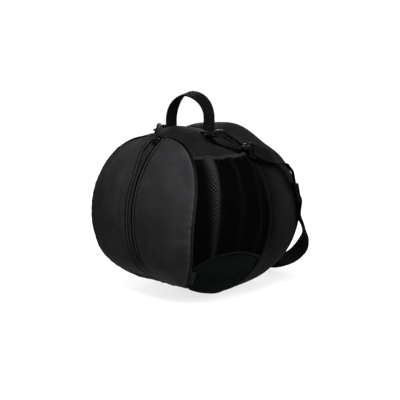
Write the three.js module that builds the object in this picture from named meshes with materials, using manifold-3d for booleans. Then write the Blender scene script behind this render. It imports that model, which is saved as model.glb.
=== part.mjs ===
// A round carry bag for one ball: gored domes with a curved zip in front, a band over the top
// and sides with net pockets, a base that wraps up the sides, a webbing handle and a shoulder strap.
// Millimetres, +Z up, -Y the zipped front, +X the side with the pocket that shows most.
import * as THREE from 'three';
import { mergeVertices } from 'three/addons/utils/BufferGeometryUtils.js';
import Module from 'manifold-3d';

// Driving dimensions of the filled body, from its middle
const HALF_WIDTH = 123;
const HALF_DEPTH = 134;
const HALF_HEIGHT = 126;
const PLAN_POWER = 4;
const PROFILE_POWER = 2.2;
const BASE_FLAT = 6;

// Cloth and the way the panels are cut
const CLOTH = 1.6;
const SEAM_GAP = 0.25;
const ROW_STEP = 90 / 16;
const GORE_ROWS = 15;
const BACK_TIP = 88.5;
const GORE_COLUMNS = 6;
const BACK_COLUMNS = 7;
const BAND_COLUMNS = 7;
const PANEL_PUFF = 3;

// Ring seams: how far each lies along Y at the top, and how much further out at the sides
const FRONT_SEAM = { top: -72, sides: -39 };
const BACK_SEAM = { top: 2, sides: 20 };
const SEAM_DROP = 5;
const PIPING = { radius: 1.2, gap: 0.6, points: 48, steps: 46, sides: 5, frontFrom: -89, backFrom: -62 };

// Zip down the middle of the front dome
const ZIP_HALF = 9;
const ZIP_SUNK = 0.8;
const TAPE = { thick: 1, rows: 14 };
const TEETH = { half: 2.6, lift: 1.2, thick: 1.6, lowRow: -13, highRow: 10 };
const SLIDER = { length: 13, width: 8, height: 4.5, corner: 2.6, sunk: 0.4, z: 104 };
const PULL = { length: 30, width: 6.5, thick: 1.8, corner: 2.9, hole: 1.6, lean: 6, gap: 0.8 };

// Net pocket on each side of the band, over the wrapped-up foot of the base
const FOOT = { edge: -6 * ROW_STEP, rise: 13, gap: 0.2 };
const DRAWN_UP = { band: 2 * ROW_STEP, base: -12 * ROW_STEP };
const POCKET = { top: 43, inset: 3, rows: 12, columns: 12 };
const NET = { thick: 1.1, stand: 1.2, bulge: 12, mouth: 0.5, roundUp: 0.7, roundAcross: 0.8, least: 0.3 };
const NET_FOLDS = [
  { across: 0.2, height: 4, spread: 0.08 },
  { across: 0.5, height: 2.5, spread: 0.07 },
  { across: 0.82, height: 2.5, spread: 0.07 },
];
const BINDING = { tall: 2, thick: 2.2, proud: 0.6, gap: 0.3 };

// Webbing of the handle and strap, and the handle over the top
const WEBBING = { width: 22, thick: 2 };
const HANDLE = { y: -15, half: 38.7, foot: 17, bend: 4, seat: 1.4, straight: 144, apex: 176.4 };
const HANDLE_TURNS = { bend: [0, 30, 60, 90], arch: [0, 18, 36, 54, 72] };

// Shoulder strap fittings of the right side, measured from the bag's middle; the left side mirrors them
const HOOK = { length: 52, width: 18, arm: 4.6, thick: 5, neck: 3.6, neckLength: 9, upright: 0.8 };
const HOOK_TIP = new THREE.Vector3(68, -45, 120);
const HOOK_END = new THREE.Vector3(95, 8, 102);
const HOOK_FACE = new THREE.Vector3(1, -1, 0).normalize();
const DEE = { half: 8, deep: 7, wire: 1.5, arcSteps: 10, sides: 6 };
const TAB = { x: 50, y: -34, width: 10, thick: 1.6, seat: 1.8, fold: 2.7, turns: [-90, -45, 0, 45, 90] };
const EYE = { width: 29, deep: 11, bar: 3, thick: 4, corner: 1.5, holeCorner: 0.8, gap: 0.3, lead: 9 };
const ADJUSTER = { length: 28, width: 27, thick: 8, corner: 1.5, share: 0.185 };
const ADJUSTER_SLOT = { width: 24, thick: 5, corner: 0.6 };
const LABEL = { from: 2.4, wide: 5.5, topRow: -6.2, lowRow: -8.2, rows: 3, stand: 0.4, thick: 1 };

// The strap's way round the back from one hook to the other, from the bag's middle
const STRAP_ROUTE = [
  [103, 42, 92], [106, 60, 85], [110, 77, 77], [116, 89, 62], [120.5, 92.5, 43], [123, 95, 23],
  [125, 98, 3], [125.5, 104, -12], [122, 116, -29], [115, 128, -48], [105, 136, -66], [88, 142, -82],
  [66, 147, -95], [42, 152, -103], [15, 155, -107], [-20, 155, -107], [-55, 153, -105], [-85, 146, -92],
  [-106, 133, -70], [-117, 119, -42], [-123, 107, -12], [-124, 98, 18], [-121, 93, 44], [-116, 89, 62],
  [-110, 77, 77], [-106, 60, 85], [-103, 42, 92],
];
const STRAP_STEPS = 76;
const STRAP_EDGE = { low: 40, high: 75 };

const MIDDLE = HALF_HEIGHT - BASE_FLAT;
const rad = THREE.MathUtils.degToRad;
const vec = (x, y, z) => new THREE.Vector3(x, y, z);

const wasm = await Module();
wasm.setup();

const bag = new THREE.Group();

const finishes = {
  polyester: { color: 0x17181a, roughness: 0.8, metalness: 0 },
  baseCloth: { color: 0x101311, roughness: 0.7, metalness: 0 },
  net: { color: 0x08080a, roughness: 0.8, metalness: 0 },
  webbing: { color: 0x121214, roughness: 0.85, metalness: 0 },
  plastic: { color: 0x0b0b0d, roughness: 0.4, metalness: 0 },
  metal: { color: 0x2a2a2e, roughness: 0.35, metalness: 0.9 },
};

function addPiece(name, geometry, finish) {
  const mesh = new THREE.Mesh(geometry, new THREE.MeshStandardMaterial(finishes[finish]));
  mesh.name = name;
  bag.add(mesh);
}

// The body's skin: 1 on it, less inside; coordinates run from the middle of the bag
function skinLevel(x, y, z) {
  const plan = Math.abs(x / HALF_WIDTH) ** PLAN_POWER + Math.abs(y / HALF_DEPTH) ** PLAN_POWER;
  return plan ** (PROFILE_POWER / PLAN_POWER) + Math.abs(z / HALF_HEIGHT) ** PROFILE_POWER;
}

function skinNormal(p) {
  const h = 0.05;
  return vec(
    skinLevel(p.x + h, p.y, p.z) - skinLevel(p.x - h, p.y, p.z),
    skinLevel(p.x, p.y + h, p.z) - skinLevel(p.x, p.y - h, p.z),
    skinLevel(p.x, p.y, p.z + h) - skinLevel(p.x, p.y, p.z - h),
  ).normalize();
}

// Where a ray from (0, y, 0) meets the skin, at an angle round the Y axis: 0 at the right, 90 at the top
function skinAtAngle(angle, y) {
  const way = vec(Math.cos(rad(angle)), 0, Math.sin(rad(angle)));
  let near = 0;
  let far = HALF_WIDTH + HALF_HEIGHT;
  for (let i = 0; i < 50; i += 1) {
    const middle = (near + far) / 2;
    if (skinLevel(way.x * middle, y, way.z * middle) < 1) near = middle;
    else far = middle;
  }
  return vec(way.x * near, y, way.z * near);
}

// Share of the greatest breadth that is left at a height
function fullness(z) {
  return (1 - Math.min(1, Math.abs(z / HALF_HEIGHT)) ** PROFILE_POWER) ** (1 / PROFILE_POWER);
}

// A point of the level section at height z, in a plan direction
function sectionPoint(z, turn) {
  const share = fullness(z);
  const reach = (
    Math.abs(Math.cos(turn) / (HALF_WIDTH * share)) ** PLAN_POWER
    + Math.abs(Math.sin(turn) / (HALF_DEPTH * share)) ** PLAN_POWER
  ) ** (-1 / PLAN_POWER);
  return vec(Math.cos(turn) * reach, Math.sin(turn) * reach, z);
}

// The plan direction in which the section at height z crosses the plane X = x, front or back
function turnAtX(z, x, side) {
  const share = fullness(z);
  const rest = Math.max(0, 1 - Math.abs(x / (HALF_WIDTH * share)) ** PLAN_POWER);
  return Math.atan2(side * HALF_DEPTH * share * rest ** (1 / PLAN_POWER), x);
}

// Ring seams swing out at the sides and in at the top and bottom; the left half mirrors the right
function seamY(seam, angle) {
  const right = angle > 90 ? 180 - angle : angle;
  const low = right < -90 ? -180 - right : right;
  return seam.top + seam.sides * Math.cos(rad(low + SEAM_DROP)) ** 2;
}

// A point set off the skin, laid flat where it would pass below the floor
function layOnSkin(p, lift) {
  if (p.z <= -MIDDLE) return vec(p.x, p.y, lift < 0 ? -lift : 0);
  const q = p.clone().addScaledVector(skinNormal(p), lift);
  return vec(q.x, q.y, Math.max(q.z + MIDDLE, lift < 0 ? -lift : 0));
}

function signedVolume(position, index) {
  let sum = 0;
  for (let i = 0; i < index.length; i += 3) {
    const corner = (k) => new THREE.Vector3().fromBufferAttribute(position, index[i + k]);
    const [a, b, c] = [0, 1, 2].map(corner);
    sum += a.dot(b.cross(c));
  }
  return sum;
}

// A closed wall from an outer and an inner net of points, rows by columns
function wallFromGrids(outer, inner) {
  const rows = outer.length;
  const columns = outer[0].length;
  const points = [...outer.flat(), ...inner.flat()];
  const index = [];
  const quad = (a, b, c, d) => index.push(a, b, c, a, c, d);
  const out = (i, j) => i * columns + j;
  const inn = (i, j) => rows * columns + out(i, j);
  for (let i = 0; i + 1 < rows; i += 1) {
    for (let j = 0; j + 1 < columns; j += 1) {
      quad(out(i, j), out(i, j + 1), out(i + 1, j + 1), out(i + 1, j));
      quad(inn(i, j), inn(i + 1, j), inn(i + 1, j + 1), inn(i, j + 1));
    }
    quad(out(i, 0), out(i + 1, 0), inn(i + 1, 0), inn(i, 0));
    quad(out(i + 1, columns - 1), out(i, columns - 1), inn(i, columns - 1), inn(i + 1, columns - 1));
  }
  for (let j = 0; j + 1 < columns; j += 1) {
    quad(out(0, j + 1), out(0, j), inn(0, j), inn(0, j + 1));
    quad(out(rows - 1, j), out(rows - 1, j + 1), inn(rows - 1, j + 1), inn(rows - 1, j));
  }
  const geometry = new THREE.BufferGeometry();
  const position = new THREE.Float32BufferAttribute(points.flatMap((p) => p.toArray()), 3);
  if (signedVolume(position, index) < 0) index.reverse();
  geometry.setAttribute('position', position);
  geometry.setIndex(index);
  return geometry;
}

// A cloth wall whose points on the skin come from place(row, column), with its outer face lifted off it
function clothWall(rows, columns, place, lift, thick) {
  const net = (depth) => Array.from({ length: rows + 1 }, (_, i) => (
    Array.from({ length: columns + 1 }, (__, j) => layOnSkin(place(i, j), lift(i, j) - depth))
  ));
  return wallFromGrids(net(0), net(thick));
}

// How far a panel swells between its two edges
const puff = (share) => PANEL_PUFF * Math.sin(Math.PI * share);

function mirrorX(geometry) {
  const copy = geometry.clone();
  copy.scale(-1, 1, 1);
  copy.setIndex([...copy.index.array].reverse());
  return copy;
}

// Right-hand pieces and their left-hand twins
function addPair(name, geometry, finish) {
  addPiece(`${name}_right`, geometry, finish);
  addPiece(`${name}_left`, mirrorX(geometry), finish);
}

const steps = (from, to) => Array.from(
  { length: Math.round((to - from) / ROW_STEP) + 1 },
  (_, i) => from + i * ROW_STEP,
);

// Gores: each row runs level from a ring seam to the middle of the dome
function goreWall(angles, seam, side, edge, columns) {
  const place = (i, j) => {
    const start = skinAtAngle(angles[i], seamY(seam, angles[i]) + side * SEAM_GAP);
    const from = Math.atan2(start.y, start.x);
    const to = turnAtX(start.z, edge, side);
    return sectionPoint(start.z, from + (to - from) * (j / columns));
  };
  const swell = (i, j) => puff(j / columns) * Math.cos(rad(angles[i]));
  return clothWall(angles.length - 1, columns, place, swell, CLOTH);
}
const goreAngles = steps(-GORE_ROWS * ROW_STEP, GORE_ROWS * ROW_STEP);
const backAngles = [-BACK_TIP, ...goreAngles, BACK_TIP];
addPair('front_gore', goreWall(goreAngles, FRONT_SEAM, -1, ZIP_HALF, GORE_COLUMNS), 'polyester');
addPair('back_gore', goreWall(backAngles, BACK_SEAM, 1, SEAM_GAP, BACK_COLUMNS), 'polyester');

// The foot's arched edge, and an angle that is drawn up with it
const footAngle = (across) => FOOT.edge + FOOT.rise * (1 - (2 * across - 1) ** 2);
function warpToFoot(angle, across, fixed) {
  const low = angle > 90 ? 180 - angle : angle;
  const right = low < -90 ? -180 - low : low;
  const span = (right - fixed) / (FOOT.edge - fixed);
  const drawn = span > 0 ? fixed + (footAngle(across) - fixed) * span : right;
  if (angle > 90) return 180 - drawn;
  return angle < -90 ? -180 - drawn : drawn;
}

// A wall across the band, from the front ring seam to the back one
function bandWall(angles, fixed, shift) {
  const place = (i, j) => {
    const across = j / BAND_COLUMNS;
    const angle = warpToFoot(angles[i], across, fixed) + shift(i);
    const front = seamY(FRONT_SEAM, angle) + SEAM_GAP;
    const back = seamY(BACK_SEAM, angle) - SEAM_GAP;
    return skinAtAngle(angle, front + (back - front) * across);
  };
  return clothWall(angles.length - 1, BAND_COLUMNS, place, () => 0, CLOTH);
}
const bandAngles = steps(FOOT.edge, 180 - FOOT.edge);
addPiece('band_panel', bandWall(bandAngles, DRAWN_UP.band, () => 0), 'polyester');
const baseAngles = steps(-180 - FOOT.edge, FOOT.edge);
function footTrim(i) {
  if (i === 0) return FOOT.gap;
  return i === baseAngles.length - 1 ? -FOOT.gap : 0;
}
addPiece('base_panel', bandWall(baseAngles, DRAWN_UP.base, footTrim), 'baseCloth');

// Piping over each ring seam, butted underneath
function pipingAlong(seam, from) {
  const span = 360 - 2 * (from + 90);
  const ring = Array.from({ length: PIPING.points + 1 }, (_, i) => {
    const turned = from + (i / PIPING.points) * span;
    const angle = turned > 180 ? turned - 360 : turned;
    return layOnSkin(skinAtAngle(angle, seamY(seam, angle)), PIPING.radius + PIPING.gap);
  });
  const section = new THREE.Shape(Array.from({ length: PIPING.sides }, (_, i) => {
    const turn = (2 * Math.PI * i) / PIPING.sides;
    return new THREE.Vector2(PIPING.radius * Math.cos(turn), PIPING.radius * Math.sin(turn));
  }));
  return new THREE.ExtrudeGeometry(section, {
    steps: PIPING.steps,
    extrudePath: new THREE.CatmullRomCurve3(ring),
    bevelEnabled: false,
  });
}
addPiece('ring_piping_front', pipingAlong(FRONT_SEAM, PIPING.frontFrom), 'polyester');
addPiece('ring_piping_back', pipingAlong(BACK_SEAM, PIPING.backFrom), 'polyester');

// Zip: two tapes sunk between the gores, closed teeth over them, slider and pull at the top
function zipStrip(angles, from, to, lift, thick) {
  const place = (i, j) => {
    const z = skinAtAngle(angles[i], seamY(FRONT_SEAM, angles[i])).z;
    return sectionPoint(z, turnAtX(z, j === 0 ? from : to, -1));
  };
  return clothWall(angles.length - 1, 1, place, () => lift, thick);
}
const tapeAngles = steps(-TAPE.rows * ROW_STEP, TAPE.rows * ROW_STEP);
const tapeWall = zipStrip(tapeAngles, SEAM_GAP, ZIP_HALF - SEAM_GAP, -ZIP_SUNK, TAPE.thick);
addPair('zip_tape', tapeWall, 'webbing');
const teethAngles = steps(TEETH.lowRow * ROW_STEP, TEETH.highRow * ROW_STEP);
addPiece('zip_teeth', zipStrip(teethAngles, -TEETH.half, TEETH.half, TEETH.lift, TEETH.thick), 'plastic');

// Places a piece made about its own origin: its X along one way, its Z along the other
function placeBy(geometry, at, along, up) {
  const x = along.clone().normalize();
  const y = up.clone().cross(x).normalize();
  const turned = new THREE.Matrix4().makeBasis(x, y, x.clone().cross(y)).setPosition(at);
  return geometry.applyMatrix4(turned);
}

function roundedBar(length, width, corner) {
  const shape = new THREE.Shape();
  const [a, b] = [length / 2 - corner, width / 2 - corner];
  shape.absarc(a, b, corner, 0, Math.PI / 2);
  shape.absarc(-a, b, corner, Math.PI / 2, Math.PI);
  shape.absarc(-a, -b, corner, Math.PI, 1.5 * Math.PI);
  shape.absarc(a, -b, corner, 1.5 * Math.PI, 2 * Math.PI);
  return shape;
}

function extruded(shape, depth, segments) {
  const geometry = new THREE.ExtrudeGeometry(shape, { depth, bevelEnabled: false, curveSegments: segments });
  return geometry.translate(0, 0, -depth / 2);
}

const sliderSpot = vec(0, -HALF_DEPTH * fullness(SLIDER.z), SLIDER.z);
const sliderUp = skinNormal(sliderSpot);
const sliderAlong = vec(1, 0, 0).cross(sliderUp).negate();
const floorShift = vec(0, 0, MIDDLE);
const sliderMiddle = sliderSpot.clone().add(floorShift);
sliderMiddle.addScaledVector(sliderUp, SLIDER.height / 2 - SLIDER.sunk);
const sliderBlock = extruded(roundedBar(SLIDER.length, SLIDER.width, SLIDER.corner), SLIDER.height, 3);
addPiece('zip_slider', placeBy(sliderBlock, sliderMiddle, sliderAlong, sliderUp), 'metal');

const pullShape = roundedBar(PULL.length, PULL.width, PULL.corner);
const pullEye = (PULL.width - PULL.length) / 2;
pullShape.holes.push(new THREE.Path().absarc(pullEye, 0, PULL.hole, 0, 2 * Math.PI));
const pullWay = vec(0, PULL.lean, PULL.length).normalize();
const pullFoot = sliderMiddle.clone().addScaledVector(sliderUp, SLIDER.height / 2 + PULL.gap);
const pullMiddle = pullFoot.addScaledVector(pullWay, PULL.length / 2);
const pullPlate = extruded(pullShape, PULL.thick, 4);
addPiece('zip_pull', placeBy(pullPlate, pullMiddle, pullWay, vec(0, -1, 0)), 'metal');

// Net pockets: gathered into a bound mouth, standing off the band, and sewn down to the foot
function pocketPlace(up, across) {
  const foot = footAngle(across) + BINDING.tall;
  const angle = foot + (POCKET.top - foot) * up;
  const front = seamY(FRONT_SEAM, angle) + POCKET.inset;
  const back = seamY(BACK_SEAM, angle) - POCKET.inset;
  return skinAtAngle(angle, front + (back - front) * across);
}
function netLift(up, across) {
  const rise = NET.mouth * up + (1 - NET.mouth * up) * Math.sin(Math.PI * up) ** NET.roundUp;
  const swell = NET.bulge * rise * Math.sin(Math.PI * across) ** NET.roundAcross;
  const folds = NET_FOLDS.map((fold) => (
    fold.height * Math.exp(-(((across - fold.across) / fold.spread) ** 2))
  ));
  const folded = folds.reduce((sum, fold) => sum + fold, 0) * up * Math.min(1, rise + NET.least);
  return NET.stand + NET.thick + swell + folded;
}
const { rows: netRows, columns: netColumns } = POCKET;
const netAt = (i, j) => pocketPlace(i / netRows, j / netColumns);
const netLiftAt = (i, j) => netLift(i / netRows, j / netColumns);
addPair('net_pocket', clothWall(netRows, netColumns, netAt, netLiftAt, NET.thick), 'net');

const bindingUp = (i) => 1 + (BINDING.gap + i * BINDING.tall) / (POCKET.top - FOOT.edge);
const bindingAt = (i, j) => pocketPlace(bindingUp(i), j / netColumns);
const bindingLift = (i, j) => netLift(1, j / netColumns) + BINDING.proud;
addPair('pocket_binding', clothWall(1, netColumns, bindingAt, bindingLift, BINDING.thick), 'webbing');

// Webbing swept along points, its face square to a way given at each point
function webbingAlong(points, faceAt, width, thick) {
  const along = points.map((p, i) => (
    points[Math.min(i + 1, points.length - 1)].clone().sub(points[Math.max(i - 1, 0)]).normalize()
  ));
  const face = points.map((p, i) => {
    const way = faceAt(p, i);
    return way.addScaledVector(along[i], -way.dot(along[i])).normalize();
  });
  const layer = (lift) => points.map((p, i) => {
    const middle = p.clone().addScaledVector(face[i], lift);
    const across = along[i].clone().cross(face[i]).multiplyScalar(width / 2);
    return [middle.clone().sub(across), middle.add(across)];
  });
  return wallFromGrids(layer(thick / 2), layer(-thick / 2));
}

// Height of the crown of the bag over a plan point
function crown(x, y) {
  const plan = Math.abs(x / HALF_WIDTH) ** PLAN_POWER + Math.abs(y / HALF_DEPTH) ** PLAN_POWER;
  return HALF_HEIGHT * (1 - plan ** (PROFILE_POWER / PLAN_POWER)) ** (1 / PROFILE_POWER);
}

// Handle: feet turned out and sewn down, upright legs and an oval arch
function handlePath() {
  const { half, foot, bend, seat, straight, apex, y } = HANDLE;
  const low = crown(half, y) + seat;
  const right = [vec(half + foot, y, crown(half + foot, y) + seat)];
  right.push(vec(half + foot / 2, y, crown(half + foot / 2, y) + seat));
  for (const turn of HANDLE_TURNS.bend) {
    right.push(vec(half + bend * (1 - Math.sin(rad(turn))), y, low + bend * (1 - Math.cos(rad(turn)))));
  }
  for (const turn of HANDLE_TURNS.arch) {
    right.push(vec(half * Math.cos(rad(turn)), y, straight + (apex - straight) * Math.sin(rad(turn))));
  }
  const left = right.map((p) => vec(-p.x, p.y, p.z)).reverse();
  return [...right, vec(0, y, apex), ...left].map((p) => p.add(floorShift));
}
const handlePoints = handlePath();
const handleFace = (p, i) => {
  const before = handlePoints[Math.max(i - 1, 0)];
  const after = handlePoints[Math.min(i + 1, handlePoints.length - 1)];
  return vec(0, 1, 0).cross(after.clone().sub(before));
};
addPiece('carry_handle', webbingAlong(handlePoints, handleFace, WEBBING.width, WEBBING.thick), 'webbing');

// Solids for joins and cuts
function toSolid(geometry) {
  const bare = geometry.clone();
  bare.deleteAttribute('normal');
  bare.deleteAttribute('uv');
  const merged = mergeVertices(bare, 1e-4);
  return new wasm.Manifold(new wasm.Mesh({
    numProp: 3,
    vertProperties: Float32Array.from(merged.attributes.position.array),
    triVerts: Uint32Array.from(merged.index.array),
  }));
}
function fromSolid(solid) {
  const { vertProperties, triVerts } = solid.getMesh();
  const geometry = new THREE.BufferGeometry();
  geometry.setAttribute('position', new THREE.Float32BufferAttribute(vertProperties, 3));
  geometry.setIndex([...triVerts]);
  return geometry;
}

// Snap hook: a long closed loop with a round neck, standing on edge along the shoulder
const hookWay = HOOK_END.clone().sub(HOOK_TIP).normalize();
const hookSide = HOOK_FACE.clone().multiplyScalar(HOOK.upright);
hookSide.addScaledVector(skinNormal(HOOK_TIP), 1 - HOOK.upright);
const hookLoop = roundedBar(HOOK.length, HOOK.width, HOOK.width / 2);
const hookRoom = HOOK.width - 2 * HOOK.arm;
hookLoop.holes.push(roundedBar(HOOK.length - 2 * HOOK.arm, hookRoom, hookRoom / 2));
const neckReach = HOOK.neckLength + HOOK.arm / 2;
const hookNeck = new THREE.CylinderGeometry(HOOK.neck, HOOK.neck, neckReach, 10).rotateZ(Math.PI / 2);
hookNeck.translate(HOOK.length / 2 + HOOK.neckLength - neckReach / 2, 0, 0);
const hookSolid = fromSolid(toSolid(extruded(hookLoop, HOOK.thick, 5)).add(toSolid(hookNeck)));
const hookMiddle = HOOK_TIP.clone().addScaledVector(hookWay, HOOK.length / 2).add(floorShift);
addPair('snap_hook', placeBy(hookSolid, hookMiddle, hookWay, hookSide), 'plastic');

// Flat eye on the swivel, which the strap is sewn round
const eyeFrame = roundedBar(EYE.deep, EYE.width, EYE.corner);
eyeFrame.holes.push(roundedBar(EYE.deep - 2 * EYE.bar, EYE.width - 2 * EYE.bar, EYE.holeCorner));
const eyeReach = HOOK.length + HOOK.neckLength + EYE.gap + EYE.deep / 2;
const eyeMiddle = HOOK_TIP.clone().addScaledVector(hookWay, eyeReach);
const eyeUp = skinNormal(eyeMiddle);
const eyeSolid = fromSolid(toSolid(extruded(eyeFrame, EYE.thick, 2)));
addPair('strap_eye', placeBy(eyeSolid, eyeMiddle.clone().add(floorShift), hookWay, eyeUp), 'plastic');

// Wire ring round the hook's nose: a straight bar for the tab and an oval bow, closed on itself
function wireRing() {
  const path = [new THREE.Vector2(-DEE.deep, 0)];
  for (let i = 0; i <= DEE.arcSteps; i += 1) {
    const turn = (Math.PI * i) / DEE.arcSteps;
    const bow = new THREE.Vector2(2 * DEE.deep * Math.sin(turn) - DEE.deep, DEE.half * Math.cos(turn));
    path.push(bow);
  }
  const count = path.length;
  const points = path.flatMap((p, i) => {
    const before = path[(i + count - 1) % count];
    const after = path[(i + 1) % count];
    const way = after.clone().sub(before).normalize();
    return Array.from({ length: DEE.sides }, (_, k) => {
      const turn = (2 * Math.PI * k) / DEE.sides;
      const out = DEE.wire * Math.cos(turn);
      return [p.x + way.y * out, p.y - way.x * out, DEE.wire * Math.sin(turn)];
    });
  });
  const index = [];
  for (let i = 0; i < count; i += 1) {
    for (let k = 0; k < DEE.sides; k += 1) {
      const [a, b] = [i * DEE.sides + k, i * DEE.sides + ((k + 1) % DEE.sides)];
      const [c, d] = [a, b].map((v) => (v + DEE.sides) % (count * DEE.sides));
      index.push(a, b, d, a, d, c);
    }
  }
  const geometry = new THREE.BufferGeometry();
  const position = new THREE.Float32BufferAttribute(points.flat(), 3);
  if (signedVolume(position, index) < 0) index.reverse();
  geometry.setAttribute('position', position);
  geometry.setIndex(index);
  return geometry;
}
const deeMiddle = HOOK_TIP.clone().addScaledVector(hookWay, HOOK.arm / 2).add(floorShift);
const tabWay = vec(HOOK_TIP.x - TAB.x, HOOK_TIP.y - TAB.y, 0).normalize();
addPair('dee_ring', placeBy(wireRing(), deeMiddle, tabWay, vec(0, 0, 1)), 'metal');

// Tab: webbing folded round the ring's near side, its two layers sewn down by the handle's foot
const crownPoint = (x, y, lift) => vec(x, y, crown(x, y) + lift).add(floorShift);
function tabPath() {
  const up = vec(0, 0, 1);
  const wire = deeMiddle.clone().addScaledVector(tabWay, -DEE.deep);
  const turned = TAB.turns.map((turn) => (
    wire.clone()
      .addScaledVector(tabWay, TAB.fold * Math.cos(rad(turn)))
      .addScaledVector(up, TAB.fold * Math.sin(rad(turn)))
  ));
  const layer = (lift) => crownPoint(TAB.x, TAB.y, lift);
  return [layer(TAB.seat), ...turned, layer(TAB.seat + TAB.thick + SEAM_GAP)];
}
const tabPoints = tabPath();
const tabAcross = vec(0, 0, 1).cross(tabWay);
const tabFace = (p, i) => {
  const before = tabPoints[Math.max(i - 1, 0)];
  const after = tabPoints[Math.min(i + 1, tabPoints.length - 1)];
  return tabAcross.clone().cross(after.clone().sub(before));
};
addPair('strap_tab', webbingAlong(tabPoints, tabFace, TAB.width, TAB.thick), 'webbing');

// Shoulder strap, with its face to the bag and on edge where it lies behind
const strapStart = HOOK_TIP.clone().addScaledVector(hookWay, eyeReach + EYE.deep / 2 + 2 * EYE.gap);
const strapLead = strapStart.clone().addScaledVector(hookWay, EYE.lead);
const onLeft = (p) => vec(-p.x, p.y, p.z);
const routePoints = STRAP_ROUTE.map(([x, y, z]) => vec(x, y, z));
routePoints.unshift(strapStart, strapLead);
routePoints.push(onLeft(strapLead), onLeft(strapStart));
const strapCurve = new THREE.CatmullRomCurve3(routePoints, false, 'centripetal');
const strapPoints = strapCurve.getSpacedPoints(STRAP_STEPS);
function strapFace(p) {
  const way = skinNormal(p);
  way.z *= THREE.MathUtils.smoothstep(p.z, STRAP_EDGE.low, STRAP_EDGE.high);
  return way;
}
const strapFaces = strapPoints.map(strapFace);
const strapOnFloor = strapPoints.map((p) => p.clone().add(floorShift));
const strapFaceAt = (_, i) => strapFaces[i].clone();
const strapWall = webbingAlong(strapOnFloor, strapFaceAt, WEBBING.width, WEBBING.thick);
addPiece('shoulder_strap', strapWall, 'webbing');

// Adjuster: a sleeve on the strap below the shoulder
const sleeve = roundedBar(ADJUSTER.thick, ADJUSTER.width, ADJUSTER.corner);
sleeve.holes.push(roundedBar(ADJUSTER_SLOT.thick, ADJUSTER_SLOT.width, ADJUSTER_SLOT.corner));
const adjusterAt = Math.round(ADJUSTER.share * STRAP_STEPS);
const adjusterWay = strapPoints[adjusterAt + 1].clone().sub(strapPoints[adjusterAt - 1]);
const adjusterSolid = extruded(sleeve, ADJUSTER.length, 2).rotateY(Math.PI / 2);
placeBy(adjusterSolid, strapOnFloor[adjusterAt], adjusterWay, strapFaces[adjusterAt]);
addPiece('strap_adjuster', adjusterSolid, 'plastic');

// Blank tab in the front ring seam, low on the right
const labelAngles = [LABEL.lowRow, LABEL.topRow].map((row) => row * ROW_STEP);
const labelAt = (i, j) => {
  const angle = labelAngles[0] + (labelAngles[1] - labelAngles[0]) * (i / LABEL.rows);
  return skinAtAngle(angle, seamY(FRONT_SEAM, angle) + LABEL.from + LABEL.wide * j);
};
const labelLift = () => LABEL.stand + LABEL.thick;
addPiece('side_label', clothWall(LABEL.rows, 1, labelAt, labelLift, LABEL.thick), 'webbing');

// The whole stands centred over the origin
bag.updateMatrixWorld(true);
const middle = new THREE.Box3().setFromObject(bag).getCenter(new THREE.Vector3());
bag.position.set(-middle.x, -middle.y, 0);

export default bag;
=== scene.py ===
"""Looks of a round ball bag: sewn cloth panels, zip, net pockets, webbing and strap fittings."""

import math

import bpy
import numpy as np
from bpy.props import FloatProperty, FloatVectorProperty, PointerProperty
from mathutils import Matrix, Vector, noise
from mathutils.bvhtree import BVHTree
from mathutils.kdtree import KDTree


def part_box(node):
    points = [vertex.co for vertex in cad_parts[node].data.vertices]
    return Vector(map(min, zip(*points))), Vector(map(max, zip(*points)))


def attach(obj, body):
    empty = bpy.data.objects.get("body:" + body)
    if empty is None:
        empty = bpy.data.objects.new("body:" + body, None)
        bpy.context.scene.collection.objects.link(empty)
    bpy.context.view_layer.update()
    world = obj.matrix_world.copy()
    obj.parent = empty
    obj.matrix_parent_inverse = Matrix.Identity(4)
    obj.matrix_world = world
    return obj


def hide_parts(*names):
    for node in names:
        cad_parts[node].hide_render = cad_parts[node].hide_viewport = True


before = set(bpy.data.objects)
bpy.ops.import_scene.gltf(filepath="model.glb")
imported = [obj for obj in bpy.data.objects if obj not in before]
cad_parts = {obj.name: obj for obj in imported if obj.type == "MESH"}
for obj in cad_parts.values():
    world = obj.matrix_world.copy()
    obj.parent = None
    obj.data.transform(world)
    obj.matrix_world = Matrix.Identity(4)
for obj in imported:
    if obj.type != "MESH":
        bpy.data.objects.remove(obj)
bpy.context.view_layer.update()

bl_info = {
    "name": "Ball bag",
    "version": (1, 0, 0),
    "blender": (4, 5, 0),
    "location": "View3D > Sidebar > Ball bag",
    "description": "Builds the cloth, net, webbing and fittings of a round ball bag",
    "category": "Object",
}

BODY = "root"
MM = 0.001
CLOTH_UV = "cloth"
# The per-point attribute that pales cloth for wear and painted highlight, and darkens it for painted shade
WEAR_AND_PAINTED_LIGHT = "wear_and_painted_light"
HANDS = ("right", "left")
MIRROR = {"right": np.array([1.0, 1.0, 1.0]), "left": np.array([-1.0, 1.0, 1.0])}
UP = np.array([0.0, 0.0, 1.0])

# Filled body: half sizes in millimetres from its middle, and the powers of its plan and profile
HALF = np.array([123.0, 134.0, 126.0])
PLAN_POWER = 4.0
PROFILE_POWER = 2.2
BASE_FLAT = 6.0
MIDDLE = HALF[2] - BASE_FLAT
ROW_STEP = 90 / 16

# Places where the filled cloth leaves a plain round: lift, heights between which it comes in, then middle and
# spread along X and along Y; those of the second table lie on both sides
SAG_PLACES = {
    "dip across the top": (-7.0, (70, 118), (0, np.inf), (1, 23)),
    "swell of the back": (5.0, (70, 118), (18, 42), (50, 24)),
    "slack left shoulder": (-5.5, (60, 95), (-72, 27), (-32, 32)),
    "slack behind the left front seam": (-5.5, (60, 95), (-42, 21), (-45, 17)),
}
SAG_PAIRS = {
    "back shoulders": (-6.2, (5, 45), (82, 30), (68, 36)),
    "back sides": (-8.5, (15, 45), (110, 20), (92, 24)),
    "corners of the foot": (5.5, (-90, -112), (64, 22), (-24, 32)),
}
FRONT_TUCK = -9.5

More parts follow.
